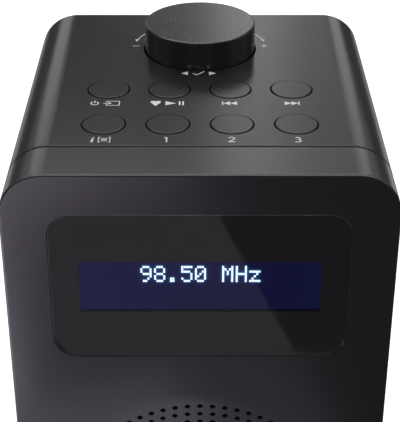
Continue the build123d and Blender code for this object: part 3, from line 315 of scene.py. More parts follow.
def smoked_acrylic(name):
    """The display's slightly smoked lens: a faint polishing haze, and a dull edge whose colour goes to near
    black, painted shade of the gap round the lens.
    """
    material, tree, shader, place = new_material(name)
    haze = noise(tree, place, 0.012, 3.0)
    edge = edge_mask(tree, 0.0003)
    smoke = blend_colours(tree, haze, (0.54, 0.55, 0.56), (0.59, 0.60, 0.61))
    polish = spread(tree, haze, 0.3, 0.8, 0.012, 0.035)
    dulled = arithmetic(tree, "ADD", polish, arithmetic(tree, "MULTIPLY", edge, 0.6))
    # Near the edge the colour goes to near black: painted shade of the gap round the lens.
    paint(tree, shader, blend_colours(tree, edge, smoke, (0.003, 0.003, 0.003)), dulled)
    shader.inputs["IOR"].default_value = 1.40
    shader.inputs["Transmission Weight"].default_value = 1.0
    bump(tree, shader, noise(tree, place, 0.03, 1.0), 0.02, 0.00002)
    return material


def printed_film(name):
    """Glossy black ink behind the lens."""
    material, tree, shader, place = new_material(name)
    pinholes = noise(tree, place, 0.0008, 2.0)
    black = blend_colours(tree, pinholes, (0.030, 0.030, 0.0305), (0.040, 0.040, 0.0405))
    paint(tree, shader, black, spread(tree, pinholes, 0.3, 0.7, 0.03, 0.06))
    shader.inputs["Specular IOR Level"].default_value = 1.0
    return material


def clear_glass_stack(name):
    """The LCD's own glass, with the dark blue behind it showing through."""
    material, tree, shader, place = new_material(name)
    depth = noise(tree, place, 0.008, 2.0)
    blue = blend_colours(tree, depth, (0.006, 0.012, 0.050), (0.010, 0.020, 0.075))
    paint(tree, shader, blue, spread(tree, depth, 0.3, 0.7, 0.06, 0.12))
    shader.inputs["IOR"].default_value = 1.52
    shader.inputs["Specular IOR Level"].default_value = 0.15
    bump(tree, shader, depth, 0.02, 0.00001)
    return material


def light_guide(name):
    """Milky acrylic edge-lit block behind the LCD."""
    material, tree, shader, place = new_material(name)
    dots = cells(tree, place, 0.0012)
    milky = blend_colours(tree, dots, (0.80, 0.84, 0.88), (0.92, 0.94, 0.96))
    paint(tree, shader, milky, spread(tree, dots, 0.1, 0.7, 0.25, 0.45))
    shader.inputs["Subsurface Weight"].default_value = 0.3
    bump(tree, shader, dots, 0.15, 0.00003)
    return material


def ink(name, colour):
    """Pad-printed legend: slightly uneven cover, so that a little of the plastic's grain shows."""
    material, tree, shader, place = new_material(name)
    cover = noise(tree, place, 0.00035, 2.0)
    film_colour = blend_colours(tree, spread(tree, cover, 0.3, 0.7, 0.0, 1.0), shade(colour, 0.86), colour)
    paint(tree, shader, film_colour, spread(tree, cover, 0.3, 0.7, 0.45, 0.6))
    bump(tree, shader, cover, 0.15, 0.00001)
    return material


CHARCOAL = (0.012, 0.012, 0.0124)
FACE_CHARCOAL = (0.0150, 0.0140, 0.0155)
FACE_TINT = (0.97, 0.92, 1.0)
COVER_BLACK = (0.012, 0.012, 0.013)
STEEL = (0.55, 0.55, 0.54)
DARK_STEEL = (0.10, 0.10, 0.105)
SHELL_ROUGHNESS = 0.20


def dress(material, *names):
    """Gives CAD nodes a material in every slot."""
    for name in names:
        mesh = NODES[name].data
        if not mesh.materials:
            mesh.materials.append(material)
        for slot in range(len(mesh.materials)):
            mesh.materials[slot] = material


def dress_cad_nodes():
    keys = [name for name in NODES if name.endswith("_button")]
    tubes = [name for name in NODES if name.startswith("antenna_section")]
    shell = satin_plastic("cabinet_plastic", CHARCOAL, SHELL_ROUGHNESS)
    face = satin_plastic("face_plastic", FACE_CHARCOAL, SHELL_ROUGHNESS, tint=FACE_TINT, specular=0.72)
    dress(shell, "cabinet_sleeve", *keys)
    dress(face, "front_cover", "speaker_grille")
    knob = satin_plastic("knob_plastic", CHARCOAL, 0.22, grain=0.0004, strength=0.12, specular=0.76)
    dress(knob, "selector_knob")
    dress(satin_plastic("rear_plastic", COVER_BLACK, 0.5, grain=0.0006, depth=0.00005), "rear_cover")
    dress(satin_plastic("socket_plastic", (0.010, 0.010, 0.010), 0.38, grain=0.0002),
          "headphone_jack", "dc_jack")
    dress(satin_plastic("switch_plastic", (0.014, 0.014, 0.014), 0.4, grain=0.0002),
          "tact_switches", "encoder_rotor")
    dress(rubber("foot_rubber", (0.016, 0.016, 0.016)), "rubber_feet")
    dress(rubber("gasket_foam", (0.022, 0.022, 0.022), 0.85), "speaker_gasket")
    dress(rubber("surround_rubber", (0.012, 0.012, 0.012), 0.6), "speaker_surround")
    dress(woven_cloth("grille_cloth_weave", (0.006, 0.006, 0.006), 0.0004, 0.2), "grille_cloth")
    dress(woven_cloth("spider_weave", (0.40, 0.26, 0.09), 0.0006, 0.1), "speaker_spider")
    dress(pressed_paper("cone_paper", (0.020, 0.020, 0.020)), "speaker_cone", "dust_cap")
    dress(ferrite("magnet_ferrite"), "speaker_magnet")
    dress(copper_winding("coil_copper"), "voice_coil")
    dress(insulation("cable_insulation"), "wiring_harness")
    dress(smoked_acrylic("lens_acrylic"), "display_lens")
    dress(printed_film("lens_ink"), "lens_mask")
    dress(clear_glass_stack("lcd_glass_blue"), "lcd_glass")
    dress(light_guide("backlight_acrylic"), "lcd_backlight")
    dress(metal("blackened_steel", DARK_STEEL, 0.42), "lcd_frame")
    dress(metal("painted_basket", (0.045, 0.045, 0.048), 0.45), "speaker_frame")
    dress(metal("zinc_steel", STEEL, 0.30), "magnet_top_plate", "magnet_yoke", "encoder_nut")
    dress(metal("screw_steel", STEEL, 0.28), "front_cover_screws", "lcd_screws", "key_board_screws",
          "speaker_screws", "main_board_screws", "antenna_retainer", "antenna_hinge_pin")
    dress(metal("black_screw_steel", (0.06, 0.06, 0.062), 0.36), "rear_cover_screws")
    dress(metal("cast_zinc", (0.42, 0.42, 0.41), 0.42, scratch=0.4), "encoder_body")
    dress(metal("turned_aluminium", (0.72, 0.72, 0.73), 0.28, grain=(1.0, 1.0, 8.0)), "encoder_shaft")
    dress(metal("tinned_steel", (0.66, 0.66, 0.64), 0.26, grain=(0.2, 1.0, 1.0)), "tuner_shield")
    dress(metal("anodised_aluminium", (0.035, 0.035, 0.038), 0.45, grain=(1.0, 0.1, 1.0)),
          "amplifier_heatsink")
    dress(metal("capacitor_sleeve", (0.05, 0.055, 0.10), 0.35), "capacitors")
    dress(chrome("aerial_chrome"), "antenna_swivel", "antenna_knuckle", "antenna_tip", *tubes)
    dress(solder_mask("main_board_green", (0.0, 0.0, 0.0)), "main_board")
    dress(solder_mask("key_board_green", (0.011, 0.007, 0.0)), "key_board")
    dress(solder_mask("lcd_board_green", (0.005, 0.013, 0.0)), "lcd_board")


# ---- printed legends -----------------------------------------------------------------------------
# Every outline below is a closed list of (right, up) points in millimetres, as the legend is read.
INK_T = 0.012
INK_LIFT = 0.004
STROKE = 0.32
KEY_LEGEND_DROP = 8.35 * MM  # from a key's centre to its legend's
KNOB_LEGEND_DROP = 17.2 * MM  # from the knob's centre to the row of legends before it
VOLUME_SIGN_SIDE, VOLUME_SIGN_RISE = 18.1 * MM, 1.6 * MM
VOLUME_ARC_R = 18.9
ARROW_LEAN = math.radians(12)
REAR_LEGEND_Z = 30.5 * MM


def moved(outline, right, up):
    return [(x + right, y + up) for x, y in outline]


def mirrored(outline):
    return [(-x, y) for x, y in outline]


def rectangle(left, right, low, high):
    return [(left, low), (right, low), (right, high), (left, high)]


def arc(radius, start, end, steps=24):
    """Points along a circle about the origin, from one angle to another, in degrees."""
    angles = [math.radians(start + (end - start) * i / steps) for i in range(steps + 1)]
    return [(radius * math.cos(a), radius * math.sin(a)) for a in angles]


def band(radius, width, start, end):
    """A bent stroke: part of a ring."""
    return arc(radius + width / 2, start, end) + arc(radius - width / 2, end, start)


def stroke(points, width):
    """A line of constant width through points, with mitred corners and square ends."""
    sides = ([], [])
    for i, point in enumerate(points):
        here = Vector(point)
        before = (here - Vector(points[i - 1])).normalized() if i > 0 else None
        after = (Vector(points[i + 1]) - here).normalized() if i < len(points) - 1 else None
        along = ((before or after) + (after or before)).normalized()
        across = Vector((-along.y, along.x))
        reach = width / 2 / max(0.35, along.dot(after or before))
        sides[0].append(tuple(here + across * reach))
        sides[1].append(tuple(here - across * reach))
    return sides[0] + sides[1][::-1]


def slab(outlines, thickness):
    """A flat slab with the outlines' shape; an outline inside another is a hole."""
    curve = bpy.data.curves.new("outline", "CURVE")
    curve.dimensions = "2D"
    curve.fill_mode = "BOTH"
    curve.extrude = thickness / 2
    for outline in outlines:
        spline = curve.splines.new("POLY")
        spline.points.add(len(outline) - 1)
        for point, (x, y) in zip(spline.points, outline):
            point.co = (x, y, 0.0, 1.0)
        spline.use_cyclic_u = True
    holder = bpy.data.objects.new("outline", curve)
    mesh = bpy.data.meshes.new_from_object(holder)
    bpy.data.objects.remove(holder)
    bpy.data.curves.remove(curve)
    return mesh


def printed(name, strokes, origin, right, up, body, material):
    """A thin raised print made of strokes, each a list of outlines. Its place in the CAD's frame is
    given by its origin and by the directions of its right and up."""
    joined = bmesh.new()
    for outlines in strokes:
        part = slab(outlines, INK_T)
        joined.from_mesh(part)
        bpy.data.meshes.remove(part)
    bmesh.ops.remove_doubles(joined, verts=joined.verts, dist=1e-5)
    mesh = bpy.data.meshes.new(name)
    joined.to_mesh(mesh)
    joined.free()
    right, up = Vector(right), Vector(up)
    out = right.cross(up)
    turn = Matrix((right, up, out)).transposed().to_4x4()
    place = Matrix.Translation(Vector(origin) + out * (INK_T / 2 + INK_LIFT) * MM)
    mesh.transform(place @ turn @ Matrix.Scale(MM, 4))
    mesh.materials.clear()
    mesh.materials.append(material)
    piece = bpy.data.objects.new(name, mesh)
    bpy.context.scene.collection.objects.link(piece)
    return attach(piece, body)


def triangle(width, height):
    """A triangle pointing right, with its tip at half the width from the middle."""
    return [(-width / 2, -height / 2), (width / 2, 0.0), (-width / 2, height / 2)]


def power_symbol():
    return [[band(0.95, STROKE, -235, 55)], [rectangle(-STROKE / 2, STROKE / 2, 0.15, 1.5)]]


def source_symbol():
    """An arrow going into an open box."""
    corners = [(-1.3, 0.5), (-1.3, 1.2), (1.95, 1.2), (1.95, -1.2), (-1.3, -1.2), (-1.3, -0.5)]
    box = stroke(corners, STROKE * 0.75)
    shaft = rectangle(-2.15, -0.75, -0.14, 0.14)
    head = moved(triangle(0.8, 1.2), -0.4, 0.0)
    return [[box], [shaft], [head]]


def heart():
    lobe = 0.70
    left = moved(arc(lobe, 200, 25, 16), -lobe + 0.06, 0.72)
    right = moved(arc(lobe, 155, -20, 16), lobe - 0.06, 0.72)
    return [[[*left, *right, (0.0, -1.55)]]]


def play_pause():
    bars = [rectangle(x, x + 0.42, -1.15, 1.15) for x in (1.05, 1.95)]
    return [[moved(triangle(2.8, 2.3), -1.0, 0.0)], bars]


def skip_forward():
    heads = [moved(triangle(1.75, 2.1), x, 0.0) for x in (-1.0, 0.75)]
    return [[head] for head in heads] + [[rectangle(1.66, 1.98, -1.05, 1.05)]]


def flipped(strokes):
    return [[mirrored(outline) for outline in outlines] for outlines in strokes]


def skip_back():
    return flipped(skip_forward())


def info_symbol():
    """A slanted lower-case i with small serifs."""
    lean = 0.22
    foot = [(-0.42, -1.25), (0.30, -1.25), (0.30, -1.02), (0.10, -1.02)]
    head = [(0.36, 0.45), (-0.36, 0.45), (-0.40, 0.24), (-0.14, 0.24)]
    stem = [*foot, *head, (-0.36, -1.02), (-0.46, -1.02)]
    dot = moved(arc(0.24, 0, 345, 15), lean + 0.02, 1.05)
    return [[stem], [dot]]


def menu_symbol():
    """Three lines between brackets."""
    left = stroke([(-0.95, 1.3), (-1.4, 1.3), (-1.4, -1.3), (-0.95, -1.3)], STROKE * 0.7)
    lines = [[rectangle(-0.75, 0.75, y - 0.13, y + 0.13)] for y in (-0.62, 0.0, 0.62)]
    return [[left], [mirrored(left)], *lines]


def digit_one():
    flag = [(0.24, 1.3), (0.0, 1.3), (-0.58, 0.98), (-0.58, 0.68), (-0.08, 0.92)]
    return [[[(-0.08, -1.3), (0.24, -1.3), *flag]]]


def digit_two():
    bowl = moved(arc(0.66, 160, -38, 16), 0.0, 0.62)
    return [[stroke([*bowl, (-0.66, -1.14), (0.84, -1.14)], STROKE)]]


def digit_three():
    upper = moved(arc(0.58, 150, -80, 14), 0.0, 0.66)
    lower = moved(arc(0.68, 78, -152, 16), -0.02, -0.58)
    return [[stroke(upper, STROKE)], [stroke(lower, STROKE)], [rectangle(-0.26, 0.14, -0.07, 0.19)]]


def tick():
    return [[stroke([(-1.45, -0.05), (-0.45, -1.05), (1.65, 1.25)], STROKE)]]


def print_top_legends():
    """The white symbols on the cabinet's top: one under each key, and those round the knob."""
    white = ink("legend_ink", (0.62, 0.62, 0.63))

    def on_top(name, strokes, x, y):
        printed(name, strokes, (x, y, TOP_Z), (1, 0, 0), (0, 1, 0), "cabinet", white)

    under_keys = (
        ("legend_power", power_symbol(), "power_button", -3.1),
        ("legend_source", source_symbol(), "power_button", 1.3),
        ("legend_favourite", heart(), "favourite_button", -3.4),
        ("legend_play_pause", play_pause(), "favourite_button", 1.5),
        ("legend_previous", skip_back(), "previous_button", -0.35),
        ("legend_next", skip_forward(), "next_button", -0.35),
        ("legend_info", info_symbol(), "menu_button", -2.2),
        ("legend_menu", menu_symbol(), "menu_button", 0.7),
        ("legend_1", digit_one(), "preset_1_button", -0.2),
        ("legend_2", digit_two(), "preset_2_button", -0.3),
        ("legend_3", digit_three(), "preset_3_button", -0.2),
    )
    for name, strokes, key, right in under_keys:
        place = centre(key)
        on_top(name, strokes, place.x + right * MM, place.y - KEY_LEGEND_DROP)
    knob_row = KNOB.y - KNOB_LEGEND_DROP
    on_top("legend_left", [[mirrored(triangle(1.9, 2.3))]], KNOB.x - 4.2 * MM, knob_row)
    on_top("legend_select", tick(), KNOB.x - 0.45 * MM, knob_row)
    on_top("legend_right", [[triangle(1.9, 2.3)]], KNOB.x + 3.4 * MM, knob_row)
    lean_x, lean_y = math.cos(ARROW_LEAN), math.sin(ARROW_LEAN)
    arrow = [(-0.62, 0.9), (0.62, 0.9), (0.0, -0.75)]
    tip = [(x * lean_x - y * lean_y, x * lean_y + y * lean_x) for x, y in arrow]
    start = math.radians(17)
    bend = band(VOLUME_ARC_R, STROKE * 0.85, 18, 68)
    louder = [[bend], [moved(tip, VOLUME_ARC_R * math.cos(start), VOLUME_ARC_R * math.sin(start))]]
    on_top("legend_louder", louder, KNOB.x, KNOB.y)
    on_top("legend_quieter", flipped(louder), KNOB.x, KNOB.y)
    sign_y = KNOB.y + VOLUME_SIGN_RISE
    minus = rectangle(-0.95, 0.95, -0.13, 0.13)
    on_top("legend_minus", [[minus]], KNOB.x - VOLUME_SIGN_SIDE, sign_y)
    cross = [(-0.95, 0.13), (-0.13, 0.13), (-0.13, 0.95), (0.13, 0.95), (0.13, 0.13), (0.95, 0.13)]
    plus = cross + [(-x, -y) for x, y in cross]
    on_top("legend_plus", [[plus]], KNOB.x + VOLUME_SIGN_SIDE, sign_y)


def headphone_symbol():
    cups = [[rectangle(x, x + 0.55, -1.2, 0.1)] for x in (-1.35, 0.8)]
    return [[band(1.1, STROKE, 0, 180)], *cups]


def polarity_symbol():
    """A centre-positive socket: a ring open to the right, a dot in it, and a sign on each lead."""
    ring = band(1.0, STROKE * 0.8, 40, 320)
    dot = arc(0.38, 0, 345, 15)
    left_lead = rectangle(-2.6, -0.98, -0.11, 0.11)
    right_lead = rectangle(0.30, 2.6, -0.11, 0.11)
    minus_ring = [moved(arc(r, 0, 350, 35), -3.4, 0.0) for r in (0.82, 0.62)]
    plus_ring = [moved(arc(r, 0, 350, 35), 3.4, 0.0) for r in (0.82, 0.62)]
    minus = rectangle(-3.8, -3.0, -0.09, 0.09)
    half = [(-0.4, -0.09), (-0.09, -0.09), (-0.09, -0.4), (0.09, -0.4), (0.09, -0.09), (0.4, -0.09)]
    plus = moved(half + [(-x, -y) for x, y in half], 3.4, 0.0)
    return [[ring], [dot], [left_lead], [right_lead], minus_ring, plus_ring, [minus], [plus]]


def print_rear_legends():
    grey = ink("rear_legend_ink", (0.45, 0.45, 0.46))
    for name, strokes, jack in (
        ("legend_headphones", headphone_symbol(), "headphone_jack"),
        ("legend_polarity", polarity_symbol(), "dc_jack"),
    ):
        place = centre(jack)
        printed(name, strokes, (place.x, REAR_Y, REAR_LEGEND_Z), (-1, 0, 0), (0, 0, 1), "cabinet", grey)


# ---- lit display ---------------------------------------------------------------------------------
LIT_W, LIT_BELOW, LIT_ABOVE = 60.4 * MM, 7.15 * MM, 8.3 * MM
DOT_PITCH_X, DOT_PITCH_Z = 0.552 * MM, 0.673 * MM
DOT_GAP = 0.08 * MM
DOTS_ACROSS, DOTS_UP = 5, 8
FILM_FRONT, FILM_BACK, DOTS_BACK = 0.10 * MM, 0.02 * MM, 0.11 * MM  # forward of the LCD's glass
DARK_DOT_T, LIT_DOT_T = 0.01 * MM, 0.03 * MM
FILM_CELLS_ACROSS, FILM_CELLS_UP = 224, 60
FILM_BLUES = ((0.0047, 0.0061, 0.052), (0.0062, 0.0081, 0.078), (0.06, 0.20, 0.70))  # dark, light, halo
DOT_BLUES = ((0.0038, 0.0050, 0.045), (0.0050, 0.0066, 0.068), (0.05, 0.16, 0.55))
GLOW_REACH, GLOW_STRENGTH = 0.62 * MM, 0.30
LIT_STRENGTH, BLUE_STRENGTH = 2.6, 1.0
COLUMNS, ROWS = 16, 2
READOUT = "98.50 MHz"
FIRST_COLUMN = 3.63  # where the readout starts, in characters from the left
TEXT_TOP = 5.5 * MM
# Five-by-seven characters, top row first.
GLYPHS = {
    "9": ".###. #...# #...# .#### ....# ...#. .##..",
    "8": ".###. #...# #...# .###. #...# #...# .###.",
    "5": "##### #.... ####. ....# ....# #...# .###.",
    "0": ".###. #...# #..## #.#.# ##..# #...# .###.",
    ".": "..... ..... ..... ..... ..... .##.. .##..",
    "M": "#...# ##.## #.#.# #.#.# #...# #...# #...#",
    "H": "#...# #...# #...# ##### #...# #...# #...#",
    "z": "..... ..... ##### ...#. ..#.. .#... #####",
    " ": "..... ..... ..... ..... ..... ..... .....",
}


def dot_places():
    """(column, row) of every lit dot, counted right and down from the first character's corner."""
    lit = []
    for place, character in enumerate(READOUT):
        first = place * (DOTS_ACROSS + 1)
        for down, line in enumerate(GLYPHS[character].split()):
            lit += [(first + right, down) for right, mark in enumerate(line) if mark == "#"]
    return lit


def readout_corner():
    """The left edge and top edge of the readout's first character."""
    middle = (GLASS_LOW + GLASS_HIGH) / 2
    width = COLUMNS * (DOTS_ACROSS + 1) * DOT_PITCH_X
    left = middle.x - width / 2 + FIRST_COLUMN * (DOTS_ACROSS + 1) * DOT_PITCH_X
    return left, middle.z + TEXT_TOP


def plates(name, rectangles, back_y, thickness, material):
    """Thin plates facing the front, one for each (left, right, low, high), as one mesh."""
    mesh = bpy.data.meshes.new(name)
    made = bmesh.new()
    for left, right, low, high in rectangles:
        corners = [(left, low), (right, low), (right, high), (left, high)]
        rear = [made.verts.new((x, back_y, z)) for x, z in corners]
        front = [made.verts.new((x, back_y - thickness, z)) for x, z in corners]
        made.faces.new(front)
        made.faces.new(rear[::-1])
        for i in range(4):
            j = (i + 1) % 4
            made.faces.new((rear[i], rear[j], front[j], front[i]))
    bmesh.ops.recalc_face_normals(made, faces=made.faces)
    made.to_mesh(mesh)
    made.free()
    mesh.materials.append(material)
    piece = bpy.data.objects.new(name, mesh)
    bpy.context.scene.collection.objects.link(piece)
    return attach(piece, "cabinet")


def dot_plate(left, top, column, row):
    x = left + column * DOT_PITCH_X
    z = top - row * DOT_PITCH_Z
    return x, x + DOT_PITCH_X - DOT_GAP, z - DOT_PITCH_Z + DOT_GAP, z


def lit_dot_material():
    """A dot that lets the backlight through: white, here and there a pale cyan."""
    material, tree, shader, place = new_material("lit_dot")
    flicker = noise(tree, place, 0.0009, 2.0)
    white = blend_colours(tree, flicker, (0.58, 0.82, 1.0), (0.82, 0.96, 1.0))
    tree.links.new(white, shader.inputs["Emission Color"])
    tree.links.new(spread(tree, flicker, 0.3, 0.7, 0.2, 0.3), shader.inputs["Roughness"])
    shader.inputs["Emission Strength"].default_value = LIT_STRENGTH
    shader.inputs["Specular IOR Level"].default_value = 0.0
    shader.inputs["Base Color"].default_value = (0.05, 0.08, 0.12, 1.0)
    return material


def backlight_colour(tree, place, dark, light):
    """The backlight's blue, which weakens a little from left to right."""
    axes = tree.nodes.new("ShaderNodeSeparateXYZ")
    tree.links.new(place, axes.inputs["Vector"])
    rightness = spread(tree, axes.outputs["X"], -0.03, 0.03, 0.0, 1.0)
    uneven = spread(tree, noise(tree, place, 0.012, 3.0), 0.3, 0.7, -0.15, 0.15)
    return blend_colours(tree, arithmetic(tree, "ADD", rightness, uneven), light, dark)


def blue_material(name, dark, light, halo, dimples):
    """The backlight's blue, brightened towards halo by the glow stored round the lit dots."""
    material, tree, shader, place = new_material(name)
    base = backlight_colour(tree, place, dark, light)
    glow = tree.nodes.new("ShaderNodeAttribute")
    glow.attribute_name = "glow"
    tree.links.new(blend_colours(tree, glow.outputs["Fac"], base, halo), shader.inputs["Emission Color"])
    shader.inputs["Emission Strength"].default_value = BLUE_STRENGTH
    shader.inputs["Specular IOR Level"].default_value = 0.0
    shader.inputs["Base Color"].default_value = (0.002, 0.002, 0.01, 1.0)
    shader.inputs["Roughness"].default_value = 0.3
    if dimples:
        bump(tree, shader, noise(tree, place, 0.0006), 0.05, 0.00001)
    return material


def glow_at(x, z, lit_centres):
    """How much light spills to a point from the lit dots near it."""
    total = 0.0
    for lit_x, lit_z in lit_centres:
        gap = ((x - lit_x) ** 2 + (z - lit_z) ** 2) / GLOW_REACH**2
        if gap < 9.0:
            total += math.exp(-gap)
    return min(1.0, GLOW_STRENGTH * total)


def store_glow(piece, lit_centres):
    attribute = piece.data.attributes.new("glow", "FLOAT", "POINT")
    for vertex in piece.data.vertices:
        attribute.data[vertex.index].value = glow_at(vertex.co.x, vertex.co.z, lit_centres)


def film(name, low, high, front_y, back_y, material):
    """A thin slab whose front is divided into a grid, so that it can carry a smooth glow."""
    mesh = bpy.data.meshes.new(name)
    made = bmesh.new()
    step_x = (high.x - low.x) / FILM_CELLS_ACROSS
    step_z = (high.z - low.z) / FILM_CELLS_UP
    columns, rows = range(FILM_CELLS_ACROSS + 1), range(FILM_CELLS_UP + 1)
    grid = [
        [made.verts.new((low.x + step_x * i, front_y, low.z + step_z * k)) for k in rows]
        for i in columns
    ]
    for i in range(FILM_CELLS_ACROSS):
        for k in range(FILM_CELLS_UP):
            made.faces.new((grid[i][k], grid[i + 1][k], grid[i + 1][k + 1], grid[i][k + 1]))
    thickness = back_y - front_y
    rim = [edge for edge in made.edges if edge.is_boundary]
    walls = bmesh.ops.extrude_edge_only(made, edges=rim)["geom"]
    for vertex in [item for item in walls if isinstance(item, bmesh.types.BMVert)]:
        vertex.co.y += thickness
    bmesh.ops.holes_fill(made, edges=[edge for edge in made.edges if edge.is_boundary])
    bmesh.ops.recalc_face_normals(made, faces=made.faces)
    made.to_mesh(mesh)
    made.free()
    mesh.materials.append(material)
    piece = bpy.data.objects.new(name, mesh)
    bpy.context.scene.collection.objects.link(piece)
    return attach(piece, "cabinet")


def every_dot():
    """(column, row) of every dot of the display's characters, counted from the readout's corner."""
    first = -FIRST_COLUMN * (DOTS_ACROSS + 1)
    every = itertools.product(range(COLUMNS), range(ROWS), range(DOTS_ACROSS), range(DOTS_UP))
    return [
        (first + place * (DOTS_ACROSS + 1) + right, line * (DOTS_UP + 1) + down)
        for place, line, right, down in every
    ]


def make_display():
    """The picture on the LCD: a blue film, a field of dark dots, and a line of lit characters over it."""
    middle = (GLASS_LOW + GLASS_HIGH) / 2
    glass_y = GLASS_LOW.y
    left, top = readout_corner()
    lit = dot_places()
    half_x, half_z = (DOT_PITCH_X - DOT_GAP) / 2, (DOT_PITCH_Z - DOT_GAP) / 2
    centres = [(left + c * DOT_PITCH_X + half_x, top - r * DOT_PITCH_Z - half_z) for c, r in lit]
    low = Vector((middle.x - LIT_W / 2, 0.0, middle.z - LIT_BELOW))
    high = Vector((middle.x + LIT_W / 2, 0.0, middle.z + LIT_ABOVE))
    film_blue = blue_material("polariser", *FILM_BLUES, dimples=True)
    polariser = film("lcd_polariser", low, high, glass_y - FILM_FRONT, glass_y - FILM_BACK, film_blue)
    store_glow(polariser, centres)
    dark = [dot_plate(left, top, column, row) for column, row in every_dot()]
    dot_blue = blue_material("dark_dot", *DOT_BLUES, dimples=False)
    store_glow(plates("lcd_dark_dots", dark, glass_y - DOTS_BACK, DARK_DOT_T, dot_blue), centres)
    bright = [dot_plate(left, top, column, row) for column, row in lit]
    plates("lcd_lit_dots", bright, glass_y - DOTS_BACK, LIT_DOT_T, lit_dot_material())


# ---- studio --------------------------------------------------------------------------------------
FLOOR_HALF = 30.0
CLOTH_HALF_W, CLOTH_REACH, CLOTH_GAP, CLOTH_Z = 0.6, 1.2, 0.02, 0.002
ROOM_BRIGHTNESS = 0.08
CARD_Z = 0.003
CAMERA_BACK, CAMERA_RISE, CAMERA_PITCH = 0.2530, 0.1398, 29.38
CAMERA_LENS, CAMERA_SHIFT = 106.9, -0.0616


def lying_sheet(name, left, right, front, back, height, material):
    """A rectangle lying flat, as a new object."""
    mesh = bpy.data.meshes.new(name)
    corners = [(left, front, height), (right, front, height), (right, back, height), (left, back, height)]
    mesh.from_pydata(corners, [], [(0, 1, 2, 3)])
    mesh.materials.append(material)
    sheet = bpy.data.objects.new(name, mesh)
    bpy.context.scene.collection.objects.link(sheet)
    return sheet


def make_floor():
    """A pale sweep that shines a little, more so far away, where the lights no longer reach it."""
    material, tree, shader, place = new_material("pale_sweep")
    pale = blend_colours(tree, noise(tree, place, 0.5), (0.90, 0.90, 0.90), (0.94, 0.94, 0.94))
    tree.links.new(pale, shader.inputs["Base Color"])
    shader.inputs["Roughness"].default_value = 0.9
    shader.inputs["Emission Color"].default_value = (1.0, 1.0, 1.0, 1.0)
    distance = tree.nodes.new("ShaderNodeVectorMath")
    distance.operation = "LENGTH"
    tree.links.new(place, distance.inputs[0])
    shine = spread(tree, distance.outputs["Value"], 0.25, 1.6, 0.45, 1.0)
    tree.links.new(shine, shader.inputs["Emission Strength"])
    floor = lying_sheet("floor", -FLOOR_HALF, FLOOR_HALF, -FLOOR_HALF, FLOOR_HALF, 0.0, material)
    floor.visible_glossy = False
    floor.visible_diffuse = False
    floor.visible_transmission = False


def black_cloth():
    """A matt black cloth on the table in front, which keeps the reflections beside the cards deep."""
    material, tree, shader, place = new_material("black_cloth")
    black = blend_colours(tree, noise(tree, place, 0.004), (0.002, 0.002, 0.002), (0.004, 0.004, 0.004))
    tree.links.new(black, shader.inputs["Base Color"])
    shader.inputs["Roughness"].default_value = 1.0
    shader.inputs["Specular IOR Level"].default_value = 0.0
    front, back = FRONT_Y - CLOTH_REACH, FRONT_Y - CLOTH_GAP
    cloth = lying_sheet("black_cloth", -CLOTH_HALF_W, CLOTH_HALF_W, front, back, CLOTH_Z, material)
    cloth.visible_camera = False
    cloth.visible_diffuse = False
    cloth.visible_transmission = False
    cloth.visible_shadow = False


def softbox(name, place, target, width, height, power, colour=(1.0, 1.0, 1.0)):
    """A rectangular area light at place, facing target; the camera doesn't see it directly."""
    light = bpy.data.lights.new(name, "AREA")
    light.shape = "RECTANGLE"
    light.size = width
    light.size_y = height
    light.energy = power
    light.color = colour
    lamp = bpy.data.objects.new(name, light)
    lamp.location = place
    lamp.rotation_euler = (Vector(target) - Vector(place)).to_track_quat("-Z", "Y").to_euler()
    lamp.visible_camera = False
    bpy.context.scene.collection.objects.link(lamp)
    return lamp


def make_world():
    """White where the camera sees it, and a dim grey room for everything else."""
    world = bpy.data.worlds.new("studio")
    bpy.context.scene.world = world
    world.use_nodes = True
    tree = world.node_tree
    tree.nodes.clear()
    output = tree.nodes.new("ShaderNodeOutputWorld")
    seen = tree.nodes.new("ShaderNodeBackground")
    seen.inputs["Color"].default_value = (1.0, 1.0, 1.0, 1.0)
    room = tree.nodes.new("ShaderNodeBackground")
    room.inputs["Color"].default_value = (1.0, 1.0, 1.0, 1.0)
    room.inputs["Strength"].default_value = ROOM_BRIGHTNESS
    path = tree.nodes.new("ShaderNodeLightPath")
    mix = tree.nodes.new("ShaderNodeMixShader")
    tree.links.new(path.outputs["Is Camera Ray"], mix.inputs["Fac"])
    tree.links.new(room.outputs[0], mix.inputs[1])
    tree.links.new(seen.outputs[0], mix.inputs[2])
    tree.links.new(mix.outputs[0], output.inputs["Surface"])


# Soft panels round the radio, as (name, azimuth from and to, elevation from and to, brightness).
# Azimuths are in degrees clockwise from the back.
PANELS = (
    ("left_back_box", -25, -13, 8, 30, 0.95),
    ("left_back_ramp", -44, -25, 8, 30, 0.30),
    ("right_back_box", 14, 25, 8, 30, 1.0),
    ("right_back_ramp", 25, 44, 8, 30, 0.30),
    ("back_strip", 1, 5, 6, 46, 1.42),
    ("back_strip_skirt", 5, 13, 6, 46, 0.44),
    ("left_haze", -14, -1, 28, 46, 0.70),
    ("low_centre", -5, 1, 4, 16, 1.1),
    ("back_canopy", -45, 45, 46, 70, 3.6),
    ("left_canopy", -135, -45, 46, 70, 1.9),
    ("right_canopy", 45, 135, 46, 70, 1.7),
    ("front_canopy", 135, 225, 46, 70, 3.4),
    ("zenith", -40, 40, 70, 88, 0.4),
    ("left_side", -120, -60, 20, 46, 0.6),
    ("right_side", 60, 120, 20, 46, 0.7),
    ("front_fill", 150, 210, 20, 46, 0.25),
)
PANEL_DISTANCE = 1.6
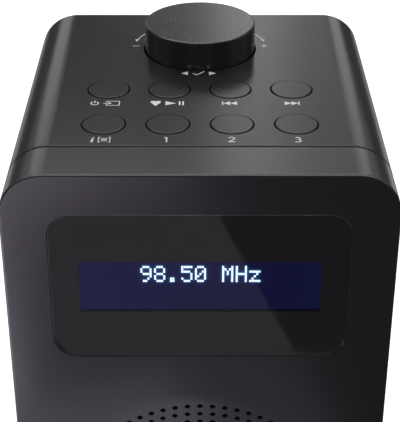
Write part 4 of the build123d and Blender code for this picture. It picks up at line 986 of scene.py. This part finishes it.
# Reflector cards lying on the table in front, as (name, across from and to, along from and to,
# brightness). Those on the left end in a straight edge, which shows in the display's lens.
CARD_EDGE_PLACE = (0.0090, -0.2789)
CARD_EDGE_TURN = 15.2
CARD_COLOUR = (1.0, 0.95, 1.06)
CARDS = (
    ("card_before_the_lens", -0.104, 0.0, -0.032, 0.104, 0.25),
    ("card_left", -0.30, -0.104, -0.032, 0.104, 3.0),
    ("card_near_left", -0.30, -0.05, 0.104, 0.19, 0.85),
    ("card_near", -0.05, 0.0, 0.104, 0.19, 0.3),
    ("card_far_left", -0.30, -0.05, -0.50, -0.032, 1.4),
    ("card_far", -0.05, 0.0, -0.50, -0.032, 0.9),
    ("card_right", 0.0, 0.30, -0.12, 0.16, 0.05),
)
# Dim cards lying beside and behind the radio, as (name, left, right, front, back, brightness), so
# that its sides and back have something to mirror.
SIDE_CARDS = (
    ("side_card_left", -0.80, -0.22, -0.15, 0.45, 0.22),
    ("side_card_right", 0.22, 0.80, -0.15, 0.45, 0.32),
    ("side_card_back", -0.45, 0.45, 0.09, 0.65, 0.30),
)


def sky_panel(name, azimuth_from, azimuth_to, elevation_from, elevation_to, brightness):
    """A panel on the sphere round the cabinet's top, facing it."""
    azimuth = math.radians((azimuth_from + azimuth_to) / 2)
    elevation = math.radians((elevation_from + elevation_to) / 2)
    level = math.cos(elevation)
    away = Vector((math.sin(azimuth) * level, math.cos(azimuth) * level, math.sin(elevation)))
    width = PANEL_DISTANCE * math.radians(azimuth_to - azimuth_from) * level
    height = PANEL_DISTANCE * math.radians(elevation_to - elevation_from)
    middle = Vector((0.0, 0.0, TOP_Z))
    power = math.pi * width * height * brightness
    softbox(name, middle + away * PANEL_DISTANCE, middle, width, height, power)


def table_card(name, across_from, across_to, along_from, along_to, brightness):
    """A card lying face up. Across is measured to the right of the straight edge, along towards the
    radio."""
    turn = math.radians(CARD_EDGE_TURN)
    along = Vector((math.sin(turn), math.cos(turn), 0.0))
    across = Vector((along.y, -along.x, 0.0))
    start = Vector((*CARD_EDGE_PLACE, CARD_Z))
    place = start + across * (across_from + across_to) / 2 + along * (along_from + along_to) / 2
    width, length = across_to - across_from, along_to - along_from
    power = math.pi * width * length * brightness
    card = softbox(name, place, place + Vector((0.0, 0.0, 1.0)), width, length, power, CARD_COLOUR)
    card.rotation_euler = (math.pi, 0.0, -turn)


def side_card(name, left, right, front, back, brightness):
    """A card lying face up, square to the radio."""
    width, length = right - left, back - front
    place = Vector(((left + right) / 2, (front + back) / 2, CARD_Z))
    power = math.pi * width * length * brightness
    softbox(name, place, place + Vector((0.0, 0.001, 1.0)), width, length, power)


def make_lights():
    for panel in PANELS:
        sky_panel(*panel)
    for card in CARDS:
        table_card(*card)
    for card in SIDE_CARDS:
        side_card(*card)


def make_camera():
    """From in front and above, with a long lens."""
    camera = bpy.data.cameras.new("camera")
    camera.sensor_width = 36.0
    camera.lens = CAMERA_LENS
    camera.shift_y = CAMERA_SHIFT
    camera.clip_start = 0.02
    camera.clip_end = 60.0
    holder = bpy.data.objects.new("camera", camera)
    holder.location = (0.0, FRONT_Y - CAMERA_BACK, TOP_Z + CAMERA_RISE)
    holder.rotation_euler = (math.radians(90.0 - CAMERA_PITCH), 0.0, 0.0)
    bpy.context.scene.collection.objects.link(holder)
    bpy.context.scene.camera = holder


dress_cad_nodes()
print_top_legends()
print_rear_legends()
make_display()
make_floor()
black_cloth()
make_world()
make_lights()
make_camera()
bpy.context.scene.view_settings.view_transform = "Standard"
